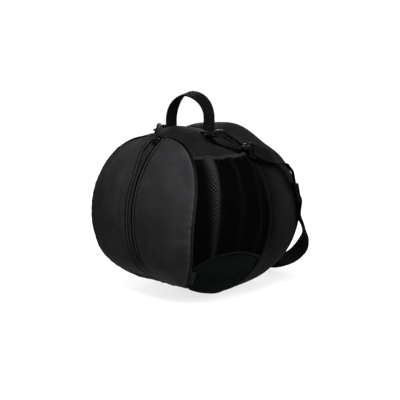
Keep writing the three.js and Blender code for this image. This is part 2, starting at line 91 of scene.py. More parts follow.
# Ring seams: place along Y at the top, and how much further out at the sides
FRONT_SEAM = (-72.0, -39.0)
BACK_SEAM = (2.0, 20.0)
SEAM_DROP = 5.0
FRONT_SEAM_LOW = 8.0
FRONT_REACH = 15 * ROW_STEP
BACK_REACH = 88.5
SEAM_GAP = 0.25
SPINE_LAP = 0.3
SPINE_SEED = 31
PUCKER_HIGH = 0.95
PUCKER_LONG = 12.5
PUCKER_FADE = 11.0
BEAD_WIDE = 1.6
BEAD_HIGH = 1.35
LABEL_ENDS = (-8.2 * ROW_STEP, -6.2 * ROW_STEP)
LABEL_WIDE = 5.4

# Foot of the base and the net pocket above it; folds and hollows are (place, height, spread)
FOOT_EDGE = -6 * ROW_STEP
FOOT_RISE = 12.5
FOOT_FALL = 0.7
BAND_DRAWN = 2 * ROW_STEP
BASE_DRAWN = -12 * ROW_STEP
POCKET_TOP = 43.0
POCKET_TOP_FRONT = 3.5
POCKET_TOP_SLACK = 1.6
POCKET_INSET = 1.6
NET_STAND = 1.2
NET_BULGE = 5.0
NET_MOUTH = 0.5
NET_HOLLOWS = ((0.09, 4.5, 0.06), (0.38, 6.5, 0.07), (0.66, 5.5, 0.06))
NET_FOLDS = ((0.19, 5.5, 0.055), (0.5, 4.0, 0.05), (0.82, 3.5, 0.05))
BINDING_DEG = 2.0
NET_RUN = (0.1265, 0.158)
CELL_RISE = 0.866

# Hems along the zip: distance from the teeth, and the groove where cloth is sewn down behind the lip
ZIP_EDGE = {"right": 6.0, "left": 5.0}
ZIP_GROOVE = {"right": 4.4, "left": 3.2}
GROOVE_DEEP = {"right": 2.6, "left": 1.6}
GROOVE_WIDE = {"right": 1.25, "left": 1.0}
HEM_STEPS = np.array([12, 9.6, 8, 6.9, 6.1, 5.6, 5.2, 4.8, 4.4, 4, 3.6, 3.2, 2.8, 2.2, 1.4, 0.6, 0])
TOOTH_SIZE = (3.1, 1.15, 1.6)
TOOTH_STEP = 0.95
TOOTH_REACH = 0.75
SLIDER_Z = 104.0
SLIDER_LIFT = 2.4
PULL_LIFT = 4.6
PULL_WAY = np.array([0.0, 11.0, 28.0])

# Zip tapes from the teeth outwards: places, lifts off the skin, and painted light: shade in the gaps below
# nothing, highlights on the raised cords above it
TAPE_THICK = 0.8
TAPE_PLACES = np.array([0.15, 1.0, 2.0, 3.0, 4.0, 5.0, 6.0, 7.0, 8.5, 10.0, 12.0, 14.0])
TAPE_SPREAD = {"right": 1.0, "left": 1.45}
TAPE_LIFTS = {
    "right": (-2.4, -2.4, -2.6, -3.0, -3.4, -3.7, -4.2, -4.8, -5.2, -5.4, -5.4, -5.4),
    "left": (-2.4, -2.4, -2.4, -2.0, -1.9, -2.6, -3.2, -3.7, -3.9, -4.0, -4.0, -4.0),
}
TAPE_PAINTED_LIGHT = {
    "right": (-0.9,) * 12,
    "left": (-0.9, -0.9, -0.9, -0.5, 0.6, 0.6, 0.0, -0.3, 0.5, 0.0, 0.4, 0.0),
}

# Handle: place along Y, half width, sewn-down foot, height of the legs, and the arch
HANDLE_Y = -15.0
HANDLE_HALF = {"right": 41.5, "left": 37.0}
HANDLE_FOOT = 17.0
HANDLE_BEND = 4.5
HANDLE_SEAT = 1.5
HANDLE_STRAIGHT = {"right": 137.0, "left": 128.0}
HANDLE_ROUND = {"right": 0.93, "left": 1.17}
HANDLE_APEX = np.array([-2.0, 170.0])
HANDLE_LEAN = math.radians(14)

# Snap hooks, eyes, rings and tabs, each as on the right-hand side
HOOK_TIPS = {"right": np.array([71.5, -42.0, 117.0]), "left": np.array([60.0, -21.0, 114.6])}
HOOK_WAYS = {"right": np.array([0.420, 0.825, -0.374]), "left": np.array([0.434, 0.853, -0.290])}
HOOK_UPRIGHT = {"right": 0.8, "left": 0.35}
HOOK_LENGTH = 52.0
HOOK_WIDTH = 20.0
HOOK_THICK = 6.4
HOOK_END = 6.0
HOOK_HOLE = 10.4
HOOK_NECK = 9.0
EYE_DEEP = 11.0
EYE_WIDTH = 29.0
EYE_RIM = 3.0
END_LOOP = 3.0
EYE_REACH = HOOK_LENGTH + HOOK_NECK + 0.3 + EYE_DEEP / 2
TAB_FEET = {"right": np.array([50.0, -34.0]), "left": np.array([46.0, -30.0])}
DEE_DEEP = 7.0
DEE_HALF = 8.0
DEE_WIRE = 1.5
TAB_FOLD = 2.6

# The strap's way round the back from one hook to the other
STRAP_ROUTE = np.array([
    (107, 42, 81.5), (107.5, 59, 74.5), (109.5, 76, 70), (114.5, 87.5, 59), (118, 90, 43), (119.5, 91.5, 23),
    (118, 92, 3), (117, 95.5, -9), (117.5, 107, -25), (113.5, 121, -44), (101, 131, -62), (84, 136, -79),
    (64, 141, -92), (42, 148, -101), (15, 153, -107), (-20, 155, -107), (-55, 153, -105), (-85, 146, -92),
    (-106, 133, -70), (-117, 119, -42), (-123, 107, -12), (-124, 98, 18), (-121, 93, 44), (-116, 89, 62),
    (-111, 80, 73), (-104, 65, 81),
])
SHOULDER_WAY = np.array([-0.695, 0.695, -0.182])
STRAP_LEAD = 9.0
STRAP_TUCK = 2.6
END_RISE = 2.35
END_SINK = 1.2

# Shares of the strap's run: the adjuster, the part on edge over the shoulder, and the part aslant below it
ADJUSTER_SHARE = 0.17
ON_EDGE = (0.035, 0.078, 0.182, 0.222)
ASLANT = (0.165, 0.19, 0.3, 0.4)

# Stitches: room along a seam for each, thickness, how far they stand out and where their lines start
STITCH_ROOM = 1.45
STITCH_WIDE = 0.00042
STITCH_HIGH = 0.00036
STITCH_PROUD = 0.12
STITCH_START = 3.0
BOX_ENDS = np.array([6.0, 15.0])
BOX_SIDES = np.array([-8.5, 8.5])

# Studio, in metres; the camera in millimetres and degrees, at the photograph's viewing angle
FLOOR_RADIUS = 9.0
WALL_RADIUS = 8.9
WALL_HEIGHT = 8.0
# Middle of the floor's painted shadow, in millimetres
PAINTED_SHADOW_MIDDLE = np.array([80.0, 60.0, -MIDDLE])
LIGHTS = {
    "key": (1.1, 105.0, (0.76, -0.69, 1.71)),
    "side": (1.0, 40.0, (1.65, 0.75, 0.8)),
    "back": (1.2, 34.0, (-1.5, 1.2, 0.9)),
}
CAMERA_SPAN = 600.0
CAMERA_FAR = 1350.0
CAMERA_SIDE = 45.0
CAMERA_UP = 10.5
FRAME_SHIFT = (0.01, 0.01775)

# Where the bag's middle stands in the frame, in millimetres
HANDLE_BOX = np.array([list(corner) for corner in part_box("carry_handle")]) / MM
SHIFT = np.array([HANDLE_BOX[:, 0].mean(), HANDLE_BOX[:, 1].mean() - HANDLE_Y, MIDDLE])


def to_frame(points):
    """Millimetres from the bag's middle to metres in the frame."""
    return (np.asarray(points, float) + SHIFT) * MM


def unit(vectors):
    return vectors / np.maximum(np.linalg.norm(vectors, axis=-1, keepdims=True), 1e-9)


def smooth(low, high, x):
    t = np.clip((x - low) / (high - low), 0, 1)
    return t * t * (3 - 2 * t)


def bump(x, middle, spread):
    return np.exp(-(((x - middle) / spread) ** 2))


def between(x, low, full, fall, gone):
    """1 from full to fall, fading out towards low and towards gone."""
    return smooth(low, full, x) * smooth(gone, fall, x)


def wrapped(angles):
    return np.where(angles > 180, angles - 360, angles)


def ripple(points, size, seed):
    """Smooth wander between -1 and 1 with features of a given size in millimetres."""
    flat = np.asarray(points, float).reshape(-1, 3) / size + seed * 7.31
    values = np.array([noise.noise(Vector(p)) for p in flat])
    return values.reshape(np.asarray(points).shape[:-1])


# The body's skin

def skin_level(p):
    plan = np.abs(p[..., 0] / HALF[0]) ** PLAN_POWER + np.abs(p[..., 1] / HALF[1]) ** PLAN_POWER
    return plan ** (PROFILE_POWER / PLAN_POWER) + np.abs(p[..., 2] / HALF[2]) ** PROFILE_POWER


def skin_normal(p):
    p = np.asarray(p, float)
    step = 0.05
    slope = [skin_level(p + step * axis) - skin_level(p - step * axis) for axis in np.eye(3)]
    return unit(np.stack(slope, axis=-1))


def skin_at(angle, y):
    """Where rays from the Y axis meet the skin: angle 0 at the right, 90 at the top."""
    angle, y = np.broadcast_arrays(np.radians(np.asarray(angle, float)), np.asarray(y, float))
    way = np.stack([np.cos(angle), np.zeros_like(angle), np.sin(angle)], axis=-1)
    start = np.stack([np.zeros_like(y), y, np.zeros_like(y)], axis=-1)
    near = np.zeros(angle.shape)
    far = np.full(angle.shape, HALF[0] + HALF[2])
    for _ in range(40):
        middle = (near + far) / 2
        inside = skin_level(start + way * middle[..., None]) < 1
        near = np.where(inside, middle, near)
        far = np.where(inside, far, middle)
    return start + way * near[..., None]


def fullness(z):
    return (1 - np.minimum(1, np.abs(z / HALF[2])) ** PROFILE_POWER) ** (1 / PROFILE_POWER)


def section_point(z, turn):
    share = np.maximum(fullness(z), 1e-6)
    reach = (
        np.abs(np.cos(turn) / (HALF[0] * share)) ** PLAN_POWER
        + np.abs(np.sin(turn) / (HALF[1] * share)) ** PLAN_POWER
    ) ** (-1 / PLAN_POWER)
    z = np.broadcast_to(z, turn.shape)
    return np.stack([np.cos(turn) * reach, np.sin(turn) * reach, z], axis=-1)


def turn_at_x(z, x, side):
    share = np.maximum(fullness(z), 1e-6)
    rest = np.maximum(0, 1 - np.abs(x / (HALF[0] * share)) ** PLAN_POWER)
    return np.arctan2(side * HALF[1] * share * rest ** (1 / PLAN_POWER), x)


def crown(x, y):
    plan = abs(x / HALF[0]) ** PLAN_POWER + abs(y / HALF[1]) ** PLAN_POWER
    return HALF[2] * (1 - plan ** (PROFILE_POWER / PLAN_POWER)) ** (1 / PROFILE_POWER)


def right_angle(angle):
    """The same height on the right-hand side."""
    right = np.where(angle > 90, 180 - angle, angle)
    return np.where(right < -90, -180 - right, right)


def seam_y(seam, angle):
    right = right_angle(np.asarray(angle, float))
    low = FRONT_SEAM_LOW * smooth(40, 78, -right) if seam is FRONT_SEAM else 0
    return seam[0] + seam[1] * np.cos(np.radians(right + SEAM_DROP)) ** 2 + low


def sag(p):
    """How the filled cloth leaves a plain round: slack and swollen places, and a front tucked in below."""
    x, y, z = p[..., 0], p[..., 1], p[..., 2]
    tuck = FRONT_TUCK * smooth(-2, -46, y) * smooth(-58, -106, z) * (0.08 + 0.92 * smooth(-85, -22, x))
    total = tuck * (1 - 0.9 * smooth(48, 66, x))
    for places, across in ((SAG_PLACES, x), (SAG_PAIRS, np.abs(x))):
        for lift, heights, (at_x, wide_x), (at_y, wide_y) in places.values():
            total = total + lift * smooth(*heights, z) * bump(across, at_x, wide_x) * bump(y, at_y, wide_y)
    return total


def lay(p, lift):
    """Points set off the skin, kept above the floor."""
    q = p + skin_normal(p) * np.asarray(lift)[..., None]
    q[..., 2] = np.maximum(q[..., 2], -MIDDLE)
    return q


def run_lengths(points, axis):
    """Distance along the rows or columns of a grid of points."""
    steps = np.linalg.norm(np.diff(points, axis=axis), axis=-1)
    total = np.cumsum(steps, axis=axis)
    shape = list(total.shape)
    shape[axis] = 1
    return np.concatenate([np.zeros(shape), total], axis=axis)


def edge_dense(count):
    """Shares from 0 to 1 that lie closer together towards both ends."""
    t = np.linspace(0, 1, count + 1)
    return 0.2 * t + 0.8 * (0.5 - 0.5 * np.cos(np.pi * t))


# Making meshes

def settings():
    return bpy.context.scene.ball_bag_sizes, bpy.context.scene.ball_bag_colours


def deselect():
    bpy.ops.object.select_all(action="DESELECT")


def make_active(obj):
    deselect()
    obj.select_set(True)
    bpy.context.view_layer.objects.active = obj


def in_edit_mode(obj, *steps):
    """Runs edit-mode operators with the whole mesh selected before each."""
    make_active(obj)
    bpy.ops.object.mode_set(mode="EDIT")
    for step in steps:
        bpy.ops.mesh.select_all(action="SELECT")
        step()
    bpy.ops.object.mode_set(mode="OBJECT")


def apply_modifier(obj, kind, **values):
    modifier = obj.modifiers.new(kind.lower(), kind)
    for key, value in values.items():
        setattr(modifier, key, value)
    make_active(obj)
    bpy.ops.object.modifier_apply(modifier=modifier.name)


def named(name):
    """The object that an operator has just made, under its own name."""
    obj = bpy.context.active_object
    obj.name = name
    obj.data.name = name
    return obj


def points_of(mesh):
    flat = np.empty(len(mesh.vertices) * 3)
    mesh.vertices.foreach_get("co", flat)
    return flat.reshape(-1, 3)


def move_points(obj, points):
    obj.data.vertices.foreach_set("co", points.ravel())
    obj.data.update()


def set_wear_and_painted_light(obj, wear_and_painted_light):
    """How much paler each point is (wear and painted highlight), and below nothing how much darker (painted
    shade).
    """
    attribute = obj.data.attributes.new(WEAR_AND_PAINTED_LIGHT, "FLOAT", "POINT")
    attribute.data.foreach_set("value", np.asarray(wear_and_painted_light, np.float32))


def mesh_piece(name, points, faces):
    mesh = bpy.data.meshes.new(name)
    mesh.from_pydata([tuple(p) for p in points], [], faces)
    obj = bpy.data.objects.new(name, mesh)
    bpy.context.scene.collection.objects.link(obj)
    return obj


def plain_grid(name, rows, columns):
    """A grid primitive, and the row and column of each of its points."""
    deselect()
    bpy.ops.mesh.primitive_grid_add(x_subdivisions=columns, y_subdivisions=rows, size=1.0)
    obj = named(name)
    places = points_of(obj.data) + 0.5
    if len(places) != (rows + 1) * (columns + 1):
        raise RuntimeError(f"{name}: the grid has {len(places)} points")
    return obj, np.rint(places[:, 1] * rows).astype(int), np.rint(places[:, 0] * columns).astype(int)


def grid_piece(name, points, uv, wear_and_painted_light=None):
    """A grid primitive whose points are moved to a grid of places, with its UVs in metres."""
    obj, row, column = plain_grid(name, points.shape[0] - 1, points.shape[1] - 1)
    corners = np.empty(len(obj.data.loops), int)
    obj.data.loops.foreach_get("vertex_index", corners)
    layer = obj.data.uv_layers.active
    layer.name = CLOTH_UV
    layer.data.foreach_set("uv", (uv[row, column] * MM)[corners].ravel())
    if wear_and_painted_light is not None:
        set_wear_and_painted_light(obj, wear_and_painted_light[row, column])
    move_points(obj, to_frame(points)[row, column])
    return obj


def face_out(obj):
    """Turns an open sheet so that its faces look away from the bag's middle."""
    middle = Vector(to_frame(np.zeros(3)))
    facing = sum(f.normal.dot(f.center - middle) * f.area for f in obj.data.polygons)
    if facing < 0:
        in_edit_mode(obj, bpy.ops.mesh.flip_normals)


def turn_out():
    bpy.ops.mesh.normals_make_consistent(inside=False)


def close_shell(obj):
    in_edit_mode(
        obj,
        lambda: bpy.ops.mesh.remove_doubles(threshold=1e-6),
        lambda: bpy.ops.mesh.fill_holes(sides=0),
        turn_out,
    )


def cloth_sheet(name, points, thick, wear_and_painted_light=None):
    """A closed wall of cloth under a grid of outer points."""
    uv = np.stack([run_lengths(points, 1), run_lengths(points, 0)], axis=-1)
    obj = grid_piece(name, points, uv, wear_and_painted_light)
    face_out(obj)
    apply_modifier(obj, "SOLIDIFY", thickness=thick, offset=-1.0)
    return obj


def sweep(name, points, across, section, closed=False):
    """A section carried along points; across is the way of the section's first axis at each point."""
    if closed:
        ahead, behind = np.roll(points, -1, axis=0), np.roll(points, 1, axis=0)
    else:
        ahead = np.concatenate([points[1:], points[-1:]])
        behind = np.concatenate([points[:1], points[:-1]])
    along = unit(ahead - behind)
    across = unit(across - along * (across * along).sum(-1, keepdims=True))
    face = np.cross(across, along)
    section = np.asarray(section, float)
    if section.ndim == 2:
        section = np.broadcast_to(section, (len(points), *section.shape))
    grid = points[:, None] + across[:, None] * section[..., :1] + face[:, None] * section[..., 1:]
    grid = np.concatenate([grid, grid[:, :1]], axis=1)
    if closed:
        grid = np.concatenate([grid, grid[:1]])
    length = run_lengths(np.concatenate([points, points[:1]]) if closed else points, 0)
    girth = run_lengths(np.concatenate([section[0], section[0][:1]]), 0)
    uv = np.stack(np.broadcast_arrays(girth[None, :], length[:, None]), axis=-1)
    obj = grid_piece(name, grid, uv)
    close_shell(obj)
    return obj


def flat_section(width, thick, columns, ends, cords=0):
    """Outline of a flat webbing with rounded edges, and its lengthwise cords if it has any."""
    half = width / 2 - thick / 2
    across = np.linspace(-half, half, columns + 1)
    turn = np.linspace(-90, 90, ends + 2)[1:-1]
    round_end = np.stack([np.cos(np.radians(turn)), np.sin(np.radians(turn))], axis=-1) * thick / 2
    depth = thick / 2
    if cords:
        depth = depth * (0.62 + 0.38 * np.abs(np.sin(np.pi * cords * (across / (2 * half) + 0.5))) ** 0.6)
    under = np.stack([across, np.zeros_like(across) - depth], axis=-1)
    right = round_end + (half, 0)
    return np.concatenate([under, right, -under, -right])


def oval_section(wide, high, sides):
    turn = np.linspace(0, 2 * np.pi, sides, endpoint=False)
    return np.stack([wide * np.cos(turn), high * np.sin(turn)], axis=-1)


def smooth_path(knots, count):
    """Evenly spaced points on a centripetal Catmull-Rom curve through knots."""
    knots = np.asarray(knots, float)
    padded = np.concatenate([2 * knots[:1] - knots[1:2], knots, 2 * knots[-1:] - knots[-2:-1]])
    t = np.linspace(0, 1, 24, endpoint=False)[:, None]
    dense = []
    for a, b, c, d in zip(padded, padded[1:], padded[2:], padded[3:]):
        first, second, third = (math.sqrt(np.linalg.norm(q - p)) for p, q in ((a, b), (b, c), (c, d)))
        leave = ((b - a) / first - (c - a) / (first + second) + (c - b) / second) * second
        arrive = ((c - b) / second - (d - b) / (second + third) + (d - c) / third) * second
        dense.append(
            b + leave * t + (3 * (c - b) - 2 * leave - arrive) * t**2 + (2 * (b - c) + leave + arrive) * t**3
        )
    return spaced(np.concatenate([*dense, knots[-1:]]), count)


def spaced(points, count):
    """The same line with evenly spaced points."""
    length = run_lengths(points, 0)
    even = np.linspace(0, length[-1], count)
    return np.stack([np.interp(even, length, points[:, k]) for k in range(3)], axis=-1)


def rounded_outline(length, width, corner, count):
    """Points round a bar with rounded corners, evenly spaced, from the middle of its far end."""
    a, b = length / 2 - corner, width / 2 - corner
    turn = np.radians(np.linspace(0, 90, 9))
    arc = np.stack([np.cos(turn), np.sin(turn)], axis=-1) * corner
    quarter = [arc + (a, b), arc[::-1] * (-1, 1) + (-a, b), -arc + (-a, -b), arc[::-1] * (1, -1) + (a, -b)]
    start = np.array([[length / 2, 0.0]])
    line = np.concatenate([start, *quarter, start])
    flat = spaced(np.concatenate([line, np.zeros((len(line), 1))], axis=1), count + 1)
    return flat[:-1, :2]


def oval_outline(length, width, power, count):
    turn = np.linspace(0, 2 * np.pi, count, endpoint=False)
    c, s = np.cos(turn), np.sin(turn)
    return np.stack([
        length / 2 * np.sign(c) * np.abs(c) ** (2 / power),
        width / 2 * np.sign(s) * np.abs(s) ** (2 / power),
    ], axis=-1)


def plate(name, outer, inner, thick, edge, segments=3):
    """A plate cut to an outline, with a hole if an inner outline is given, and rounded edges."""
    deselect()
    fill = "NGON" if inner is None else "NOTHING"
    bpy.ops.mesh.primitive_circle_add(vertices=len(outer), radius=1.0, fill_type=fill)
    obj = named(name)
    places = outer
    if inner is not None:
        in_edit_mode(obj, bpy.ops.mesh.extrude_edges_move)
        places = np.concatenate([outer, inner])
    move_points(obj, np.pad(places, ((0, 0), (0, 1))) * MM)
    in_edit_mode(obj, turn_out)
    apply_modifier(obj, "SOLIDIFY", thickness=thick * MM, offset=0.0)
    apply_modifier(obj, "BEVEL", width=edge * MM, segments=segments, limit_method="ANGLE",
                   angle_limit=math.radians(50))
    in_edit_mode(obj, turn_out)
    return obj


def lathe(name, profile, sides=24):
    """A round piece about X from a profile of (x, radius)."""
    obj, row, column = plain_grid(name, len(profile) - 1, sides)
    x, radius = np.array(profile)[row].T
    turn = 2 * np.pi * column / sides
    move_points(obj, np.stack([x, radius * np.cos(turn), radius * np.sin(turn)], axis=-1) * MM)
    close_shell(obj)
    return obj


def bar(name, size, at, edge, turn_z=0.0, segments=2):
    """A small bar with rounded edges, in a piece's own frame."""
    deselect()
    bpy.ops.mesh.primitive_cube_add(size=1.0)
    obj = named(name)
    turned = Matrix.Translation(Vector(at) * MM) @ Matrix.Rotation(turn_z, 4, "Z")
    obj.data.transform(turned @ Matrix.Diagonal((*(np.asarray(size) * MM), 1.0)))
    apply_modifier(obj, "BEVEL", width=edge * MM, segments=segments, limit_method="NONE")
    return obj


def join(name, *objs):
    deselect()
    for obj in objs:
        obj.select_set(True)
    bpy.context.view_layer.objects.active = objs[0]
    bpy.ops.object.join()
    return named(name)


def turned_axes(along, up):
    """A piece's own X, Y and Z: its X along one way, its Z towards the other."""
    x = unit(np.asarray(along, float))
    y = unit(np.cross(up, x))
    return np.stack([x, y, np.cross(x, y)], axis=-2)


def place(obj, at, along, up):
    """Moves a mesh from its own frame to a place on the bag."""
    matrix = np.eye(4)
    matrix[:3, :3] = turned_axes(along, up).T
    matrix[:3, 3] = to_frame(at)
    obj.data.transform(Matrix(matrix))
    obj.data.update()
    return obj


def slide(obj, by):
    obj.data.transform(Matrix.Translation(Vector(by) * MM))
    return obj


def to_side(obj, hand):
    """Turns a piece made as on the right into its mirror if it belongs on the left."""
    if hand == "left":
        x = SHIFT[0] * MM
        obj.data.transform(Matrix.Translation((x, 0, 0)) @ Matrix.Scale(-1, 4, (1, 0, 0))
                           @ Matrix.Translation((-x, 0, 0)))
        obj.data.flip_normals()
    return obj


def dress(obj, finish, slot, *nodes, sharp=None):
    """Gives a finished piece its material and its place in the frame."""
    obj.data.materials.clear()
    obj.data.materials.append(finish)
    make_active(obj)
    if sharp is None:
        bpy.ops.object.shade_smooth()
    else:
        bpy.ops.object.shade_smooth_by_angle(angle=math.radians(sharp))
    if nodes:
        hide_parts(*nodes)
    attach(obj, BODY)
    return obj


def piece(name):
    obj = bpy.data.objects.get(name)
    if obj is None:
        raise RuntimeError(f"{name} has to be made first")
    return obj


# Finishes

def finish_of(name, weave, *values):
    """A material by name, made the first time it is asked for."""
    material = bpy.data.materials.get(name)
    if material is None:
        material = bpy.data.materials.new(name)
        material.use_nodes = True
        weave(material.node_tree, *values)
    return material


def feed(tree, socket, value):
    if isinstance(value, bpy.types.NodeSocket):
        tree.links.new(value, socket)
    else:
        socket.default_value = value


def calc(tree, operation, *values):
    node = tree.nodes.new("ShaderNodeMath")
    node.operation = operation
    for socket, value in zip(node.inputs, values):
        feed(tree, socket, value)
    return node.outputs[0]


def grain(tree, scale, detail):
    """Noise over the piece's own place, scale in features a metre."""
    where = tree.nodes.new("ShaderNodeTexCoord")
    node = tree.nodes.new("ShaderNodeTexNoise")
    node.inputs["Scale"].default_value = scale
    node.inputs["Detail"].default_value = detail
    node.inputs["Roughness"].default_value = 0.6
    tree.links.new(where.outputs["Object"], node.inputs["Vector"])
    return node.outputs["Fac"]


def cloth_ways(tree):
    """The two ways along a cloth, in metres."""
    layer = tree.nodes.new("ShaderNodeUVMap")
    layer.uv_map = CLOTH_UV
    split = tree.nodes.new("ShaderNodeSeparateXYZ")
    tree.links.new(layer.outputs["UV"], split.inputs[0])
    return split.outputs[0], split.outputs[1]


def wave(tree, value, period):
    return calc(tree, "SINE", calc(tree, "MULTIPLY", value, 2 * math.pi / period))


def blend_colours(tree, share, dark, light):
    node = tree.nodes.new("ShaderNodeMix")
    node.data_type = "RGBA"
    feed(tree, node.inputs["Factor"], share)
    for key, shade in (("A", dark), ("B", light)):
        feed(tree, node.inputs[key], shade if isinstance(shade, bpy.types.NodeSocket) else (*shade, 1))
    return node.outputs["Result"]


def ranged(tree, value, low, high, to_low, to_high):
    node = tree.nodes.new("ShaderNodeMapRange")
    for socket, number in zip(node.inputs[1:5], (low, high, to_low, to_high)):
        socket.default_value = number
    feed(tree, node.inputs[0], value)
    return node.outputs[0]


def wear_and_painted_light_places(tree):
    node = tree.nodes.new("ShaderNodeAttribute")
    node.attribute_name = WEAR_AND_PAINTED_LIGHT
    return node.outputs["Fac"]


def paint(tree, **values):
    """Feeds the shader's inputs, each with a number, a colour or another node's output."""
    inputs = tree.nodes["Principled BSDF"].inputs
    for key, value in values.items():
        feed(tree, inputs[key.replace("_", " ").title().replace("Ior", "IOR")], value)


def raise_surface(tree, height, distance):
    node = tree.nodes.new("ShaderNodeBump")
    node.inputs["Distance"].default_value = distance
    tree.links.new(height, node.inputs["Height"])
    paint(tree, normal=node.outputs["Normal"])


def shades(colour, low, high):
    return [c * low for c in colour], [c * high for c in colour]


def woven(tree, colour, period, relief, rough, paling, specular=0.015):
    """Plain-weave cloth: yarns crossing over and under, slubs, patches, edges paled by wear and painted
    highlight, and grooves blacked by painted shade.
    """
    across, along = cloth_ways(tree)
    crossing = calc(tree, "MULTIPLY", wave(tree, across, period), wave(tree, along, period))
    slubs = grain(tree, 900.0, 2.0)
    patches = ranged(tree, grain(tree, 38.0, 5.0), 0.3, 0.7, 0.0, 0.66)
    raise_surface(tree, calc(tree, "MULTIPLY_ADD", crossing, 0.5, slubs), relief)
    share = calc(tree, "MULTIPLY_ADD", crossing, 0.18, patches)
    wear_and_painted_light = wear_and_painted_light_places(tree)
    # Above nothing the cloth is paler, partly wear at seam edges and partly painted highlight on lips and
    # cords; below nothing it is painted shade, down to black
    paler = calc(tree, "MULTIPLY", calc(tree, "MAXIMUM", wear_and_painted_light, 0.0), paling)
    darker = calc(tree, "MULTIPLY", calc(tree, "MINIMUM", wear_and_painted_light, 0.0), -0.95)
    shade = blend_colours(tree, share, *shades(colour, 0.78, 1.5))
    shade = blend_colours(tree, paler, shade, [c * 2.0 for c in colour])
    shade = blend_colours(tree, darker, shade, (0, 0, 0))
    uneven = ranged(tree, slubs, 0.3, 0.7, rough - 0.07, rough + 0.07)
    paint(tree, base_color=shade, roughness=uneven, specular_ior_level=specular)


def ribbed(tree, colour, rib, relief):
    """Woven webbing: slanting ribs that turn over at the middle, with a fine yarn grain."""
    across, along = cloth_ways(tree)
    slant = calc(tree, "PINGPONG", across, 0.0055)
    ribs = wave(tree, calc(tree, "MULTIPLY_ADD", slant, 0.9, along), rib)
    cords = wave(tree, across, rib * 0.8)
    yarn = grain(tree, 700.0, 2.0)
    height = calc(tree, "MULTIPLY_ADD", ribs, 0.6, calc(tree, "MULTIPLY_ADD", cords, 0.25, yarn))
    raise_surface(tree, height, relief)
    share = calc(tree, "MULTIPLY_ADD", ribs, 0.25, ranged(tree, yarn, 0.3, 0.7, 0.2, 0.8))
    shade = blend_colours(tree, share, *shades(colour, 0.7, 1.3))
    uneven = ranged(tree, yarn, 0.3, 0.7, 0.55, 0.75)
    paint(tree, base_color=shade, roughness=uneven, specular_ior_level=0.012)


def netted(tree, colour, paler):
    """Net yarn, with a painted highlight: paler along the folds that face the light."""
    raise_surface(tree, grain(tree, 1500.0, 4.0), 0.00006)
    shade = blend_colours(tree, wear_and_painted_light_places(tree), colour, [c * paler for c in colour])
    paint(tree, base_color=shade, roughness=0.8, specular_ior_level=0.01)


def grained(tree, colour, scale, relief, rough, metal, specular):
    """Moulded plastic, lacquered metal or plain yarn: a fine grain and uneven gloss."""
    broad = grain(tree, scale / 14, 3.0)
    raise_surface(tree, grain(tree, scale, 4.0), relief)
    shade = blend_colours(tree, broad, *shades(colour, 0.85, 1.15))
    uneven = ranged(tree, broad, 0.3, 0.7, rough - 0.06, rough + 0.08)
    paint(tree, base_color=shade, roughness=uneven, metallic=metal, specular_ior_level=specular)


def finishes():
    """The bag's finishes by name."""
    sizes, colours = settings()
    yarns = sizes.weave
    return {
        "cloth": finish_of("Black polyester", woven, colours.cloth, yarns, 0.00012, 0.82, 0.55),
        # Painted shade: the same polyester as the front, made darker for the band and back gores to stand in
        # for sheen that falls differently across the grain
        "cross": finish_of("Polyester with painted shade", woven, colours.cross, yarns, 0.00012, 0.82, 0.35),
        "base": finish_of("Coated base cloth", woven, colours.base, yarns * 0.6, 0.00004, 0.7, 0.2, 0.0),
        "tape": finish_of("Zip tape", woven, colours.tape, yarns * 1.2, 0.0003, 0.8, 0.3),
        "piping": finish_of("Piping", woven, colours.piping, yarns, 0.00012, 0.82, 0.35),
        "binding": finish_of("Elastic binding", woven, colours.binding, yarns, 0.00016, 0.75, 0.3),
        "coil": finish_of("Zip coil", grained, colours.coil, 1200.0, 0.00003, 0.5, 0.0, 0.08),
        "webbing": finish_of("Black webbing", ribbed, colours.webbing, sizes.rib, 0.0003),
        # Net yarn up to 34 times paler along the folds: a painted highlight
        "net": finish_of("Net yarn", netted, colours.net, 34.0),
        "thread": finish_of("Sewing thread", grained, colours.thread, 2500.0, 0.00004, 0.7, 0.0, 0.03),
        "plastic": finish_of("Moulded plastic", grained, colours.plastic, 900.0, 0.00002, 0.3, 0.0, 0.04),
        "metal": finish_of("Lacquered metal", grained, colours.metal, 700.0, 0.00001, 0.3, 1.0, 0.5),
    }


# Cloth panels

def seam_puckers(distance, along, seed):
    """Small gathers that a sewn seam draws into the cloth beside it."""
    line = np.stack([along, np.full_like(along, seed * 50.0), np.zeros_like(along)], axis=-1)
    wander = ripple(line, 38.0, seed)
    strength = 0.55 + 0.45 * ripple(line, 60.0, seed + 3)
    waves = np.sin(2 * np.pi * along / PUCKER_LONG + 5 * wander)
    return PUCKER_HIGH * np.exp(-np.abs(distance) / PUCKER_FADE) * strength * waves


def seam_valley(distance):
    """Cloth turned down into a seam, and full again beside it."""
    return -2.3 * bump(distance, 0, 2.3) + 0.9 * bump(distance, 8.5, 5.0)


def dents(points, depth, seed):
    broad = ripple(points, 62.0, seed)
    fine = ripple(points, 24.0, seed + 5)
    creases = ripple(np.asarray(points) * (0.5, 0.5, 2.2), 30.0, seed + 9)
    return depth * (broad + 0.34 * fine + 0.22 * creases)


def zip_opening(angle):
    """How far the hems stand apart along the zip: drawn together at both ends."""
    return 0.3 + 0.7 * smooth(15.2 * ROW_STEP, 12.0 * ROW_STEP, np.abs(angle))


def zip_drift(z):
    """How far the zip strays to the right of the middle."""
    return 2.5 + 3.0 * bump(z, 65, 40)


def zip_edge(hand, angle, z):
    """Where a front gore's hem runs, as on the right: beside the teeth, drawn in at both ends."""
    if hand == "right":
        return ZIP_EDGE[hand] * zip_opening(angle) + zip_drift(z)
    return (ZIP_EDGE[hand] + 9.0 * smooth(60, 98, z)) * zip_opening(angle) - zip_drift(z)


